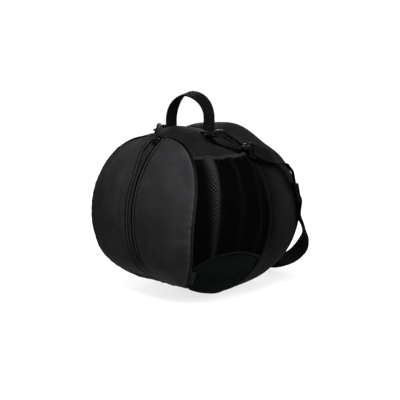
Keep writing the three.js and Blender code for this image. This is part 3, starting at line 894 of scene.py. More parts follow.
def gore_points(seam, side, hand, reach, rows, columns):
    angle = np.linspace(-reach, reach, rows + 1)[:, None]
    start = skin_at(angle, seam_y(seam, angle) + side * SEAM_GAP)
    z = start[..., 2]
    first = np.arctan2(start[..., 1], start[..., 0])
    if side > 0:
        share = edge_dense(columns)[None, :]
        return section_point(z, first + (turn_at_x(z, -SPINE_LAP, side) - first) * share), angle, share
    edge = zip_edge(hand, angle, z)
    room = np.clip((start[..., 0] - edge) * 0.7 / HEM_STEPS[0], 0.02, 1)
    hem = turn_at_x(z, edge + HEM_STEPS * room, side)
    t = np.linspace(0, 1, columns, endpoint=False)[None, :]
    t = 0.25 * t + 0.75 * (1 - np.cos(np.pi / 2 * t))
    turn = np.concatenate([first + (hem[:, :1] - first) * t, hem], axis=1)
    return section_point(z, turn), angle, (turn - first) / (hem[:, -1:] - first)


def zip_hem(hand, distance, z):
    """A front gore's edge: a rolled lip, the groove it is sewn in, and soft folds beside it."""
    at = ZIP_GROOVE[hand]
    lip = 1.0 * smooth(at - 0.4, at - 1.4, distance) - 0.9 * bump(distance, 0, 0.7)
    groove = bump(distance, at, GROOVE_WIDE[hand])
    folds = 0.7 * bump(distance, at + 3.2, 2.4)
    if hand == "left":
        folds = folds + bump(z, 20, 55) * (1.2 * bump(distance, 13, 3.5) - 1.3 * bump(distance, 19.5, 3.5))
    return lip - GROOVE_DEEP[hand] * groove + folds, groove


def slouch(x, z):
    """The left front gore hangs: slack above, hollow at the middle and full below."""
    above = -5.0 * bump(z, 74, 34) * smooth(30, 75, x)
    below = 3.0 * bump(z, -56, 26) * smooth(35, 80, x) + 2.6 * bump(z, -15, 45) * smooth(60, 95, x)
    return above + below - 2.5 * bump(z, -2, 24) * bump(x, 80, 24)


def seam_fullness(p):
    """How deep the front ring seam lies: shallow in the slack cloth at the top left."""
    return 1 - 0.8 * smooth(60, 90, p[..., 2]) * smooth(-25, -60, p[..., 0])


def gore(name, seam, side, hand, reach, rows, columns, seed):
    """One gore of a dome, from its ring seam to the zip or to the seam down the middle."""
    sizes, _ = settings()
    skin, angle, share = gore_points(seam, side, hand, reach, rows, columns)
    true = skin * MIRROR[hand]
    x, z = skin[..., 0], skin[..., 2]
    from_seam = run_lengths(skin, 1)
    to_middle = from_seam[:, -1:] - from_seam
    along = np.broadcast_to(run_lengths(skin, 0)[:, :1], skin.shape[:2])
    lift = sizes.puff / MM * np.sin(np.pi * share) * np.cos(np.radians(angle))
    full = seam_fullness(true) if side < 0 else 1.0
    lift = lift + sag(true) + seam_valley(from_seam) * full + seam_puckers(from_seam, along, seed)
    # Paler seam edges and zip lip: partly wear, partly painted highlight
    wear_and_painted_light = np.maximum(bump(from_seam, 2.5, 3.0) * (1.0 if side < 0 else 0.2), bump(to_middle, 1.5, 1.6))
    if side < 0:
        hem, groove = zip_hem(hand, to_middle, z)
        lift = lift + hem + 0.7 * seam_puckers(to_middle, along, seed + 1) * smooth(5, 9, to_middle)
        # Painted shade: the groove behind the lip blacked out
        wear_and_painted_light = wear_and_painted_light - 2.2 * groove
        if hand == "left":
            lift = lift + smooth(0, 26, from_seam) * slouch(x, z)
            # Painted shade of the hollow in the left gore's middle
            wear_and_painted_light = wear_and_painted_light - 0.34 * bump(z, 18, 42) * smooth(20, 65, x)
    else:
        lift = lift - 1.3 * bump(to_middle, 0, 2.4) + seam_puckers(to_middle, along, SPINE_SEED)
        # Painted shade on the back gores, darker near the back ring seam
        shade = 0.6 * smooth(42, 4, from_seam) + 0.35 * bump(from_seam, 0, 15)
        wear_and_painted_light = wear_and_painted_light - shade * between(z, -75, -30, 70, 100)
    quiet = smooth(0, 16, from_seam) * smooth(0, 14, to_middle)
    lift = lift + quiet * dents(true, sizes.dent / MM, seed)
    return cloth_sheet(name, lay(skin, lift) * MIRROR[hand], sizes.cloth, wear_and_painted_light)


def foot_angle(across):
    """The foot's edge: an arch that falls away less towards the back seam."""
    out = np.abs(2 * across - 1)
    return FOOT_EDGE + FOOT_RISE * np.where(across < 0.5, 1 - out**3.4, 1 - FOOT_FALL * out**1.6)


def warp_to_foot(angle, across, fixed):
    right = right_angle(angle)
    span = (right - fixed) / (FOOT_EDGE - fixed)
    drawn = np.where(span > 0, fixed + (foot_angle(across) - fixed) * span, right)
    left = np.where(angle < -90, -180 - drawn, drawn)
    return np.where(angle > 90, 180 - drawn, left)


def band_points(angles, fixed, columns):
    across = edge_dense(columns)[None, :]
    angle = warp_to_foot(np.broadcast_to(angles[:, None], (len(angles), columns + 1)), across, fixed)
    front = seam_y(FRONT_SEAM, angle) + SEAM_GAP
    back = seam_y(BACK_SEAM, angle) - SEAM_GAP
    return skin_at(angle, front + (back - front) * across), right_angle(angle)


def band_wall(name, angles, fixed, columns, seed, front_dip):
    """A wall between the ring seams: quiet and darkened by painted shade behind the nets, dented elsewhere.
    """
    sizes, _ = settings()
    skin, height = band_points(angles, fixed, columns)
    from_front = run_lengths(skin, 1)
    to_back = from_front[:, -1:] - from_front
    along = np.broadcast_to(run_lengths(skin, 0)[:, :1], skin.shape[:2])
    from_hem = np.minimum(run_lengths(skin, 0), run_lengths(skin[::-1], 0)[::-1])
    lift = sag(skin) + seam_valley(from_front) * seam_fullness(skin) + seam_valley(to_back)
    lift = lift + seam_puckers(from_front, along, seed) + seam_puckers(to_back, along, seed + 1)
    lift = lift - front_dip * smooth(60, 115, skin[..., 2]) * bump(from_front, 6, 13)
    lift = lift - 0.8 * bump(from_hem, 0, 2.0)
    quiet = smooth(0, 14, from_front) * smooth(0, 14, to_back)
    lift = lift + quiet * dents(skin, sizes.dent / MM, seed)
    lift = lift + (-1.0 - lift) * between(height, -38, -30, 44, 51)
    # Paler seam edges: partly wear, partly painted highlight
    wear_and_painted_light = np.maximum(bump(from_front, 2.5, 3.0), bump(to_back, 2.5, 3.0))
    # Painted shade behind the net pockets, where the band lies in their shadow
    wear_and_painted_light = wear_and_painted_light + (-0.9 - wear_and_painted_light) * between(height, -24, -18, 40, 43)
    return cloth_sheet(name, lay(skin, lift), sizes.cloth, wear_and_painted_light)


def ring_path(seam, angles, lift):
    skin = skin_at(angles, seam_y(seam, angles))
    normal = skin_normal(skin)
    return skin + normal * (sag(skin) + lift)[..., None], normal


def ring_angles(start, count, closed):
    turned = np.linspace(start, start + 360, count, endpoint=False)
    if not closed:
        turned = np.linspace(start, 180 - start, count)
    return wrapped(turned)


def ring_bead(name, seam, start, count, closed):
    """A flat bead of folded cloth sewn over a ring seam."""
    angles = ring_angles(start, count, closed)
    proud = 0.7 * smooth(45, 65, right_angle(angles)) if seam is FRONT_SEAM else 0
    points, normal = ring_path(seam, angles, 0.1 + proud)
    points[:, 2] = np.maximum(points[:, 2], BEAD_WIDE - MIDDLE)
    ahead = np.roll(points, -1, axis=0) - np.roll(points, 1, axis=0)
    across = np.cross(normal, unit(ahead))
    if not closed:
        across[0], across[-1] = across[1], across[-2]
    bead = sweep(name, points, across, oval_section(BEAD_WIDE, BEAD_HIGH, 10), closed)
    heights = points_of(bead.data)[:, 2] / MM - SHIFT[2]
    # Painted shade: the front bead darker over the top, the back bead darker throughout
    set_wear_and_painted_light(bead, -0.9 * smooth(60, 95, heights) if seam is FRONT_SEAM else np.full(len(heights), -0.8))
    return bead


class BAG_OT_front_gores(bpy.types.Operator):
    """Make the two gores of the front dome, hemmed along the zip"""

    bl_idname = "ball_bag.front_gores"
    bl_label = "Front gores"

    def execute(self, context):
        finish = finishes()["cloth"]
        for hand, seed in (("right", 1), ("left", 11)):
            obj = gore(f"gore_front_{hand}", FRONT_SEAM, -1, hand, FRONT_REACH, 116, 38, seed)
            dress(obj, finish, "polyester", f"front_gore_{hand}")
        return {"FINISHED"}


class BAG_OT_back_gores(bpy.types.Operator):
    """Make the two gores of the deep back dome"""

    bl_idname = "ball_bag.back_gores"
    bl_label = "Back gores"

    def execute(self, context):
        # The back gores take the darker copy of the polyester: painted shade
        finish = finishes()["cross"]
        for hand, seed in (("right", 21), ("left", 31)):
            obj = gore(f"gore_back_{hand}", BACK_SEAM, 1, hand, BACK_REACH, 120, 60, seed)
            dress(obj, finish, "polyester", f"back_gore_{hand}")
        return {"FINISHED"}


class BAG_OT_band(bpy.types.Operator):
    """Make the band over the top and sides, and the base that wraps up to it"""

    bl_idname = "ball_bag.band"
    bl_label = "Band and base"

    def execute(self, context):
        made = finishes()
        band = band_wall("band", np.linspace(FOOT_EDGE, 180 - FOOT_EDGE, 161), BAND_DRAWN, 46, 41, 3.4)
        dress(band, made["cross"], "polyester", "band_panel")
        trim = 0.2
        angles = np.linspace(-180 - FOOT_EDGE + trim, FOOT_EDGE - trim, 81)
        base = band_wall("base", angles, BASE_DRAWN, 46, 51, 0.0)
        dress(base, made["base"], "base_cloth", "base_panel")
        return {"FINISHED"}


class BAG_OT_ring_beads(bpy.types.Operator):
    """Make the folded beads over both ring seams"""

    bl_idname = "ball_bag.ring_beads"
    bl_label = "Ring seams"

    def execute(self, context):
        finish = finishes()["piping"]
        front = ring_bead("bead_front", FRONT_SEAM, -90, 220, True)
        dress(front, finish, "polyester", "ring_piping_front")
        back = ring_bead("bead_back", BACK_SEAM, -80, 200, False)
        dress(back, finish, "polyester", "ring_piping_back")
        return {"FINISHED"}


# Zip

def zip_height(angles):
    return skin_at(angles, seam_y(FRONT_SEAM, angles))[..., 2]


def zip_line(angles, x, lift):
    """Points down the front at a distance from the teeth."""
    z = zip_height(angles)
    skin = section_point(z, turn_at_x(z, x + zip_drift(z), -1))
    return lay(skin, sag(skin) + lift)


def zip_tape(name, hand):
    """One tape: beside the teeth it is open to view, further out it lies under a hem."""
    angles = np.linspace(-14 * ROW_STEP, 14 * ROW_STEP, 131)
    opening = zip_opening(angles) * MIRROR[hand][0]
    places = TAPE_PLACES * np.linspace(1, TAPE_SPREAD[hand], len(TAPE_PLACES))
    columns = [zip_line(angles, x * opening, lift) for x, lift in zip(places, TAPE_LIFTS[hand])]
    points = np.stack(columns, axis=1)
    # The tape's painted light: shade in the gaps beside the teeth and highlights on its raised cords
    return cloth_sheet(name, points, TAPE_THICK * MM, np.broadcast_to(TAPE_PAINTED_LIGHT[hand], points.shape[:2]))


def copies(name, source, places, ways, ups):
    """Copies of a small mesh along places, each turned to its own way, as one mesh."""
    shape = points_of(source.data) / MM
    faces = [list(f.vertices) for f in source.data.polygons]
    points = places[:, None] + shape @ turned_axes(ways, ups)
    every = [[v + i * len(shape) for v in f] for i in range(len(places)) for f in faces]
    bpy.data.objects.remove(source)
    return mesh_piece(name, to_frame(points.reshape(-1, 3)), every)


def zip_teeth(name):
    """Closed coil teeth that mesh from both sides, down to the bottom stop."""
    dense = zip_line(np.linspace(-13 * ROW_STEP, 11.2 * ROW_STEP, 400), 0.0, -0.2)
    count = int(run_lengths(dense, 0)[-1] / TOOTH_STEP)
    middle = spaced(dense, count)
    way = unit(np.gradient(middle, axis=0))
    normal = skin_normal(middle)
    side = np.cross(way, normal)
    hand = np.where(np.arange(count) % 2, 1.0, -1.0)[:, None]
    tooth = bar("tooth", TOOTH_SIZE, (0, 0, 0), 0.42, segments=1)
    return copies(name, tooth, middle + side * hand * TOOTH_REACH, side, normal)


def zip_slider(name, at, along, up):
    body = plate("slider_body", oval_outline(13.5, 8.4, 2.8, 40), None, 2.2, 0.7)
    under = slide(plate("slider_under", oval_outline(12.5, 7.8, 2.8, 40), None, 1.1, 0.4), (0, 0, -1.9))
    post = bar("slider_post", (3.2, 2.0, 2.6), (4.0, 0, -0.5), 0.4)
    turn = np.radians(np.linspace(0, 180, 17))
    arch = np.stack([4.2 * np.cos(turn), np.zeros(17), 2.6 * np.sin(turn) + 0.8], axis=-1)
    bridge = sweep("slider_bridge", arch, np.tile((0.0, 1.0, 0.0), (17, 1)), flat_section(2.6, 1.1, 2, 3))
    return place(join(name, body, under, post, slide(bridge, -SHIFT)), at, along, up)


def zip_pull(name, foot, way):
    """A long plate pull with a hole, and the link it hangs from."""
    outer = rounded_outline(24.0, 6.8, 3.0, 56)
    outer[:, 1] *= 0.82 + 0.18 * smooth(-13, 4, outer[:, 0])
    hole = np.array([-9.0, 0.0])
    inner = hole + unit(outer - hole) * 1.5
    tab = plate("pull_plate", outer, inner, 1.6, 0.5)
    panel = slide(plate("pull_panel", rounded_outline(13.0, 3.0, 1.3, 40), None, 2.0, 0.25), (3.0, 0, 0))
    turn = np.linspace(0, 2 * np.pi, 24, endpoint=False)
    ring = np.stack([-11.6 + 3.6 * np.cos(turn), np.zeros(24), 2.2 * np.sin(turn)], axis=-1)
    link = sweep("pull_link", ring, np.tile((0.0, 1.0, 0.0), (24, 1)), oval_section(0.75, 0.75, 8), True)
    return place(join(name, tab, panel, slide(link, -SHIFT)), foot + way * 13.0, way, (0.6, -0.8, 0.3))


class BAG_OT_zip(bpy.types.Operator):
    """Make the zip: tapes, meshed teeth, slider and standing pull"""

    bl_idname = "ball_bag.zip"
    bl_label = "Zip"

    def execute(self, context):
        made = finishes()
        for hand in HANDS:
            dress(zip_tape(f"tape_{hand}", hand), made["tape"], "webbing", f"zip_tape_{hand}")
        dress(zip_teeth("teeth"), made["coil"], "plastic", "zip_teeth", sharp=60)
        z = np.array(SLIDER_Z)
        spot = section_point(z, turn_at_x(z, zip_drift(z), -1))
        up = skin_normal(spot)
        along = -np.cross((1.0, 0.0, 0.0), up)
        slider = zip_slider("slider", spot + up * SLIDER_LIFT, along, up)
        dress(slider, made["plastic"], "metal", "zip_slider", sharp=40)
        pull = zip_pull("pull", spot + up * PULL_LIFT, unit(PULL_WAY))
        dress(pull, made["metal"], "metal", "zip_pull", sharp=40)
        return {"FINISHED"}


# Net pockets

def pocket_skin(up, across):
    foot = foot_angle(across) + BINDING_DEG
    mouth = POCKET_TOP + POCKET_TOP_FRONT * smooth(0.25, 0, across)
    mouth = mouth - POCKET_TOP_SLACK * smooth(0.15, 0.5, across) * smooth(1.0, 0.8, across)
    angle = foot + (mouth - foot) * up
    front = seam_y(FRONT_SEAM, angle) + POCKET_INSET
    back = seam_y(BACK_SEAM, angle) - POCKET_INSET
    return skin_at(angle, front + (back - front) * across)


def summed(across, table):
    return sum(height * bump(across, at, spread) for at, height, spread in table)


def net_folds(up, across):
    """The long folds of the slack net and the hollows between them."""
    slant = across - 0.16 * (1 - up)
    folds = summed(across, NET_FOLDS) + 3.4 * bump(slant, 0.9, 0.035) - 4.0 * bump(slant, 0.8, 0.045)
    return folds - summed(across, NET_HOLLOWS) * smooth(0.05, 0.3, up)


def net_lift(up, across, hand):
    """How far the net stands off the band: bulged, folded, and gathered at its mouth."""
    rise = NET_MOUTH * up + (1 - NET_MOUTH * up) * np.maximum(np.sin(np.pi * up), 0) ** 0.7
    swell = NET_BULGE * rise * np.maximum(np.sin(np.pi * across), 0) ** 0.8 * smooth(0.02, 0.2, across)
    gathers = smooth(0.4, 1.0, up) * (
        0.6 * np.sin(2 * np.pi * across * 11 + 2.0 * np.sin(5 * up))
        + 1.1 * smooth(0.5, 0.9, across) * np.sin(2 * np.pi * across * 7 + 1.2)
    )
    sides = np.maximum(np.sin(np.pi * across), 0) ** 0.5
    depth = np.minimum(1, rise + 0.3) * (0.35 + 0.65 * up) * (1 - 0.6 * smooth(0.8, 1, up))
    shaped = np.maximum(swell + net_folds(up, across) * depth + gathers * sides, 0)
    if hand == "left":
        shaped = shaped * (1 - 0.85 * smooth(0.55, 1.0, up) * smooth(0.6, 0.3, across))
    return 0.5 + NET_STAND * sides + shaped


def pocket_point(up, across, hand):
    skin = pocket_skin(up, across)
    return skin + skin_normal(skin) * net_lift(up, across, hand)[..., None]


def net_mesh(name, hand, columns, rows, strand):
    """Knitted net: six-sided cells laid over the pocket, each edge a strand, with a painted highlight over
    the folds.
    """
    k = np.arange(2 * columns + 1)
    r = np.arange(rows + 1)[:, None]
    lean = np.where((k + r) % 2 == 0, 1 / 6, -1 / 6)
    lean[[0, -1]] = 0
    up = np.clip((r + lean) / rows, 0, 1)
    across = np.broadcast_to(k / (2 * columns), up.shape)
    points = to_frame(pocket_point(up, across, hand)).reshape(-1, 3)
    # Painted highlight: paler along the net's folds, most at the first fold and up towards the mouth
    main = bump(across, NET_FOLDS[0][0], 0.025 + 0.03 * up)
    second = bump(across, 0.5 + 0.06 * up, 0.045)
    third = bump(across, 0.82 + 0.1 * up, 0.035)
    paler = (main * (0.35 + 0.65 * smooth(0.3, 0.85, up)) + 0.05 * second + 0.07 * third).ravel()
    width = 2 * columns + 1
    faces = []
    for row in range(rows):
        starts = list(range(row % 2, 2 * columns - 1, 2))
        spans = [(s, s + 2) for s in starts]
        if row % 2:
            spans = [(0, 1), *spans, (2 * columns - 1, 2 * columns)]
        for first, last in spans:
            low = [row * width + i for i in range(first, last + 1)]
            faces.append(low + [i + width for i in reversed(low)])
    obj = mesh_piece(name, points, faces)
    face_out(obj)
    apply_modifier(obj, "WIREFRAME", thickness=strand, use_even_offset=False, use_boundary=True,
                   use_replace=True)
    knots = KDTree(len(points))
    for i, p in enumerate(points):
        knots.insert(p, i)
    knots.balance()
    set_wear_and_painted_light(obj, [paler[knots.find(v.co)[1]] for v in obj.data.vertices])
    return to_side(obj, hand)


def pocket_binding(name, hand):
    """Elastic over the pocket's mouth, drawn into small waves, and the hem over the foot."""
    across = np.linspace(0.0, 1.0, 121)
    low, above_low, below_mouth, mouth = (
        pocket_point(np.full(121, up), across, hand) for up in (0.0, 0.03, 0.97, 1.0)
    )
    normal = skin_normal(mouth)
    upward = unit(mouth - below_mouth)
    waves = 0.4 * np.sin(2 * np.pi * across * 11) + 0.6 * ripple(mouth, 16.0, 61)
    ends = np.clip(np.minimum(across, 1 - across) / 0.07, 0, 1)
    mouth = mouth + upward * (1.6 + 0.5 * waves)[:, None]
    mouth = mouth + normal * (ends * (0.8 + 0.35 * waves) - 0.7)[:, None]
    elastic = sweep("binding_mouth", mouth, upward, oval_section(3.0, 1.4, 12))
    lowered = unit(above_low - low)
    hem = sweep("binding_hem", low - lowered * 0.6, lowered, oval_section(1.9, 0.9, 8))
    # Painted shade on the hem over the foot
    set_wear_and_painted_light(hem, np.full(len(hem.data.vertices), -0.65))
    return to_side(join(name, elastic, hem), hand)


class BAG_OT_net_pockets(bpy.types.Operator):
    """Make the gathered net pockets with their bound mouths"""

    bl_idname = "ball_bag.net_pockets"
    bl_label = "Net pockets"

    def execute(self, context):
        made = finishes()
        sizes, _ = settings()
        columns = round(NET_RUN[0] / sizes.net_pitch)
        rows = round(NET_RUN[1] / (sizes.net_pitch * CELL_RISE))
        for hand in HANDS:
            net = net_mesh(f"net_{hand}", hand, columns, rows, sizes.strand)
            dress(net, made["net"], "net", f"net_pocket_{hand}")
            edge = pocket_binding(f"binding_{hand}", hand)
            dress(edge, made["binding"], "webbing", f"pocket_binding_{hand}")
        return {"FINISHED"}


# Webbing

def handle_half(hand):
    """Sewn-down foot, upright leg and one side of the arch, as on the right."""
    half, straight = HANDLE_HALF[hand], HANDLE_STRAIGHT[hand]
    x = np.linspace(half + HANDLE_FOOT, half + HANDLE_BEND, 7)
    feet = np.array([(v, HANDLE_Y, crown(v, HANDLE_Y)) for v in x])
    feet = feet + skin_normal(feet) * (sag(feet * MIRROR[hand]) + HANDLE_SEAT)[:, None]
    turn = np.radians(np.linspace(0, 90, 9))[1:]
    bend_x = half + HANDLE_BEND * (1 - np.sin(turn))
    bend_z = feet[-1, 2] + HANDLE_BEND * (1 - np.cos(turn))
    leg_z = np.linspace(bend_z[-1], straight, 10)[1:]
    turn = np.radians(np.linspace(0, 90, 37))[1:]
    peak = HANDLE_APEX[0] * MIRROR[hand][0]
    arch_x = peak + (half - peak) * np.maximum(np.cos(turn), 0) ** HANDLE_ROUND[hand]
    arch_z = straight + (HANDLE_APEX[1] - straight) * np.sin(turn)
    x = np.concatenate([bend_x, np.full(len(leg_z), half), arch_x])
    z = np.concatenate([bend_z, leg_z, arch_z])
    return np.concatenate([feet, np.stack([x, np.full(len(x), HANDLE_Y), z], axis=-1)])


def handle_path():
    """The whole handle from the right foot to the left."""
    right, left = (handle_half(hand) * MIRROR[hand] for hand in HANDS)
    return spaced(np.concatenate([right, left[-2::-1]]), 150)


def webbing_section():
    """Outline of the webbing of handle and strap, with its cords."""
    sizes, _ = settings()
    return flat_section(sizes.webbing / MM, sizes.webbing_thick / MM, 48, 4, 6)


class BAG_OT_handle(bpy.types.Operator):
    """Make the webbing handle over the top"""

    bl_idname = "ball_bag.handle"
    bl_label = "Carry handle"

    def execute(self, context):
        path = handle_path()
        lean = HANDLE_LEAN * smooth(138, 168, path[:, 2])
        across = np.stack([np.zeros(len(path)), np.cos(lean), np.sin(lean)], axis=-1)
        handle = sweep("handle", path, across, webbing_section())
        dress(handle, finishes()["webbing"], "webbing", "carry_handle")
        return {"FINISHED"}


def eye_place(hand):
    """Where a strap eye sits, as on the right, and which way it faces."""
    at = HOOK_TIPS[hand] + HOOK_WAYS[hand] * EYE_REACH
    return at, skin_normal(at)


def sewn_end(hand, over, over_across):
    """The strap's end: folded back on itself round the bar of its eye."""
    at, up = eye_place(hand)
    way = HOOK_WAYS[hand]
    bar_at = at + way * (EYE_DEEP - EYE_RIM) / 2
    turn = np.radians(np.linspace(80, 280, 13))
    loop = bar_at + END_LOOP * (np.cos(turn)[:, None] * way + np.sin(turn)[:, None] * up)
    ways = np.concatenate([over_across[::-1], np.tile(unit(np.cross(way, up)), (13, 1))])
    return np.concatenate([over[::-1], loop]), ways


def strap_path():
    """Strap sewn round one eye, round the back and round the other, with its faces' ways."""
    left = MIRROR["left"]
    starts = {hand: eye_place(hand)[0] + HOOK_WAYS[hand] * (EYE_DEEP / 2 + 0.6) for hand in HOOK_TIPS}
    leads = {hand: start + HOOK_WAYS[hand] * STRAP_LEAD for hand, start in starts.items()}
    route = np.concatenate([
        [starts["right"], leads["right"]], STRAP_ROUTE, [leads["left"] * left, starts["left"] * left],
    ])
    main = smooth_path(route, 260)
    face = skin_normal(main)
    face[:, 2] *= smooth(40, 75, main[:, 2])
    along = unit(np.gradient(main, axis=0))
    share = np.linspace(0, 1, len(main))
    turned = between(share, *ON_EDGE)
    outward = unit(np.cross(along, SHOULDER_WAY))
    outward = outward * np.sign((outward * face).sum(-1, keepdims=True))
    face = unit(face + (outward - face) * turned[:, None])
    aslant = (0.6 + 0.35 * smooth(0.27, 0.22, share)) * between(share, *ASLANT)
    face = unit(face + SHOULDER_WAY * aslant[:, None])
    face[:, 2] += 0.7 * smooth(-45, -75, main[:, 2]) * smooth(20, 60, main[:, 0])
    main = main - face * STRAP_TUCK * (turned * smooth(0.2, 0.15, share))[:, None]
    across = unit(np.cross(along, face))
    over = main + face * END_RISE
    begin, begin_ways = sewn_end("right", over[4:14], across[4:14])
    close, close_ways = sewn_end("left", over[-14:-4][::-1] * left, across[-14:-4][::-1] * -left)
    blend = smooth(0, 10, np.arange(len(main)))[:, None]
    sunk = main - face * END_SINK * (1 - blend * blend[::-1])
    points = np.concatenate([begin, sunk[2:-2], close[::-1] * left])
    ways = np.concatenate([begin_ways, across[2:-2], close_ways[::-1] * -left])
    return points, ways, main, face


class BAG_OT_strap(bpy.types.Operator):
    """Make the shoulder strap with its sewn ends, and the adjuster on it"""

    bl_idname = "ball_bag.strap"
    bl_label = "Shoulder strap"

    def execute(self, context):
        made = finishes()
        points, ways, main, face = strap_path()
        strap = sweep("strap", points, ways, webbing_section())
        dress(strap, made["webbing"], "webbing", "shoulder_strap")
        at = round(ADJUSTER_SHARE * (len(main) - 1))
        rails = [bar("rail", (28.0, 2.6, 6.4), (0, side * 13.0, 0), 1.0) for side in (1, -1)]
        ends = [bar("end", (4.4, 24.5, 2.4), (side * 11.6, 0, 2.5), 0.9) for side in (1, -1)]
        middle = bar("middle", (5.0, 24.5, 2.4), (0, 0, -2.5), 0.9)
        adjuster = join("adjuster", *rails, *ends, middle)
        place(adjuster, main[at], main[at + 1] - main[at - 1], face[at])
        dress(adjuster, made["plastic"], "plastic", "strap_adjuster", sharp=40)
        return {"FINISHED"}


# Strap fittings

def snap_hook(name):
    outer = oval_outline(HOOK_LENGTH, HOOK_WIDTH, 3.2, 64)
    outer[:, 1] *= 1.0 - 0.22 * smooth(-8, 26, outer[:, 0])
    outer[:, 1] += 2.6 * bump(outer[:, 0], -9, 11) * smooth(0, 6, outer[:, 1])
    inner = oval_outline(HOOK_LENGTH - 2 * HOOK_END, HOOK_HOLE, 2.6, 64)
    inner[:, 1] *= 1.0 - 0.3 * smooth(-8, 20, inner[:, 0])
    inner[:, 1] += 2.2 * bump(inner[:, 0], -9, 10) * smooth(0, 4, inner[:, 1])
    loop = plate("hook_loop", outer, inner, HOOK_THICK, 1.6, 4)
    tongue = bar("hook_tongue", (36.0, 1.5, 3.4), (-1.5, 0.4, 0), 0.6, math.radians(-9.5))
    lug = bar("hook_lug", (6.0, 2.6, 4.2), (8.0, -10.6, 0), 0.9, math.radians(6))
    neck = lathe("hook_neck", [
        (22.0, 4.0), (25.0, 5.6), (27.0, 6.4), (28.8, 6.4), (29.6, 5.4), (30.2, 4.0),
        (31.6, 4.0), (32.2, 5.2), (32.8, 6.0), (34.4, 6.0), (35.0, 5.2),
    ])
    return join(name, loop, tongue, lug, neck)


def strap_eye(name):
    outer = rounded_outline(EYE_DEEP, EYE_WIDTH, 2.6, 56)
    inner = rounded_outline(EYE_DEEP - 2 * EYE_RIM, EYE_WIDTH - 2 * EYE_RIM, 1.6, 56)
    return plate(name, outer, inner, 4.0, 1.1, 3)


def dee_ring(name, at, along):
    turn = np.linspace(0, np.pi, 25)
    bow = np.stack([2 * DEE_DEEP * np.sin(turn) - DEE_DEEP, DEE_HALF * np.cos(turn)], axis=-1)
    straight = np.stack([np.full(7, -DEE_DEEP), np.linspace(-DEE_HALF, DEE_HALF, 9)[1:-1]], axis=-1)
    flat = np.concatenate([bow, straight])
    points = at + flat[:, :1] * along + flat[:, 1:] * np.cross(UP, along)
    return sweep(name, points, np.tile(UP, (len(points), 1)), oval_section(DEE_WIRE, DEE_WIRE, 10), True)


def strap_tab(name, hand, wire, along):
    """Narrow webbing folded round the ring and sewn down by the handle's foot."""
    foot = np.array([*TAB_FEET[hand], crown(*TAB_FEET[hand])])
    foot = foot + UP * sag(foot * MIRROR[hand])
    turn = np.radians(np.linspace(-90, 90, 13))
    fold = wire + TAB_FOLD * (np.cos(turn)[:, None] * along + np.sin(turn)[:, None] * UP)
    knots = np.concatenate([[foot + UP * 1.6 - along * 3.0, foot + UP * 1.6], fold,
                            [foot + UP * 3.5, foot + UP * 3.3 - along * 3.0]])
    path = spaced(knots, 60)
    across = np.tile(np.cross(UP, along), (len(path), 1))
    return sweep(name, path, across, flat_section(10.0, 1.5, 6, 3))


class BAG_OT_fittings(bpy.types.Operator):
    """Make the snap hooks, eyes, rings and tabs of the strap"""

    bl_idname = "ball_bag.fittings"
    bl_label = "Strap fittings"

    def execute(self, context):
        made = finishes()
        for hand, tip in HOOK_TIPS.items():
            upright = HOOK_UPRIGHT[hand]
            way = HOOK_WAYS[hand]
            facing = upright * unit(np.array([1.0, -1.0, 0.0])) + (1 - upright) * skin_normal(tip)
            hook = snap_hook(f"hook_{hand}")
            place(hook, tip + way * HOOK_LENGTH / 2, way, facing)
            eye = strap_eye(f"eye_{hand}")
            at, up = eye_place(hand)
            place(eye, at, way, up)
            along = unit(np.array([*(tip[:2] - TAB_FEET[hand]), 0.0]))
            ring_at = tip + way * 2.3
            ring = dee_ring(f"ring_{hand}", ring_at, along)
            tab = strap_tab(f"tab_{hand}", hand, ring_at - along * DEE_DEEP, along)
            dress(to_side(hook, hand), made["plastic"], "plastic", f"snap_hook_{hand}", sharp=40)
            dress(to_side(eye, hand), made["plastic"], "plastic", f"strap_eye_{hand}", sharp=40)
            dress(to_side(ring, hand), made["plastic"], "metal", f"dee_ring_{hand}")
            dress(to_side(tab, hand), made["webbing"], "webbing", f"strap_tab_{hand}")
        return {"FINISHED"}


class BAG_OT_label(bpy.types.Operator):
    """Make the blank folded tab in the front ring seam"""

    bl_idname = "ball_bag.label"
    bl_label = "Seam tab"

    def execute(self, context):
        angle = np.linspace(*LABEL_ENDS, 13)[:, None]
        across = np.linspace(0, 1, 7)[None, :]
        skin = skin_at(angle, seam_y(FRONT_SEAM, angle) + 0.8 + LABEL_WIDE * across)
        lift = 1.1 + 0.9 * np.sin(np.pi * across) + 0.25 * np.sin(np.pi * np.linspace(0, 1, 13))[:, None]
        tab = cloth_sheet("seam_tab", lay(skin, lift), TAPE_THICK * MM)
        dress(tab, finishes()["binding"], "webbing", "side_label", sharp=50)
        return {"FINISHED"}


# Stitching

def stitch_line(points, on, pitch):
    """Stitch places along a line, set on the outside of the pieces below it."""
    count = max(3, int(run_lengths(points, 0)[-1] / pitch))
    line = spaced(points, count)
    places, ups = [], []
    for p in to_frame(line):
        hits = [tree.find_nearest(Vector(p)) for tree in on]
        where, normal, _, _ = min(hits, key=lambda hit: hit[3])
        places.append(where)
        ups.append(normal)
    places = np.array(places) / MM - SHIFT
    ups = np.array(ups)
    return places + ups * STITCH_PROUD, np.gradient(places, axis=0), ups


def surface_tree(name):
    mesh = piece(name).data
    return BVHTree.FromPolygons([v.co for v in mesh.vertices], [tuple(f.vertices) for f in mesh.polygons])


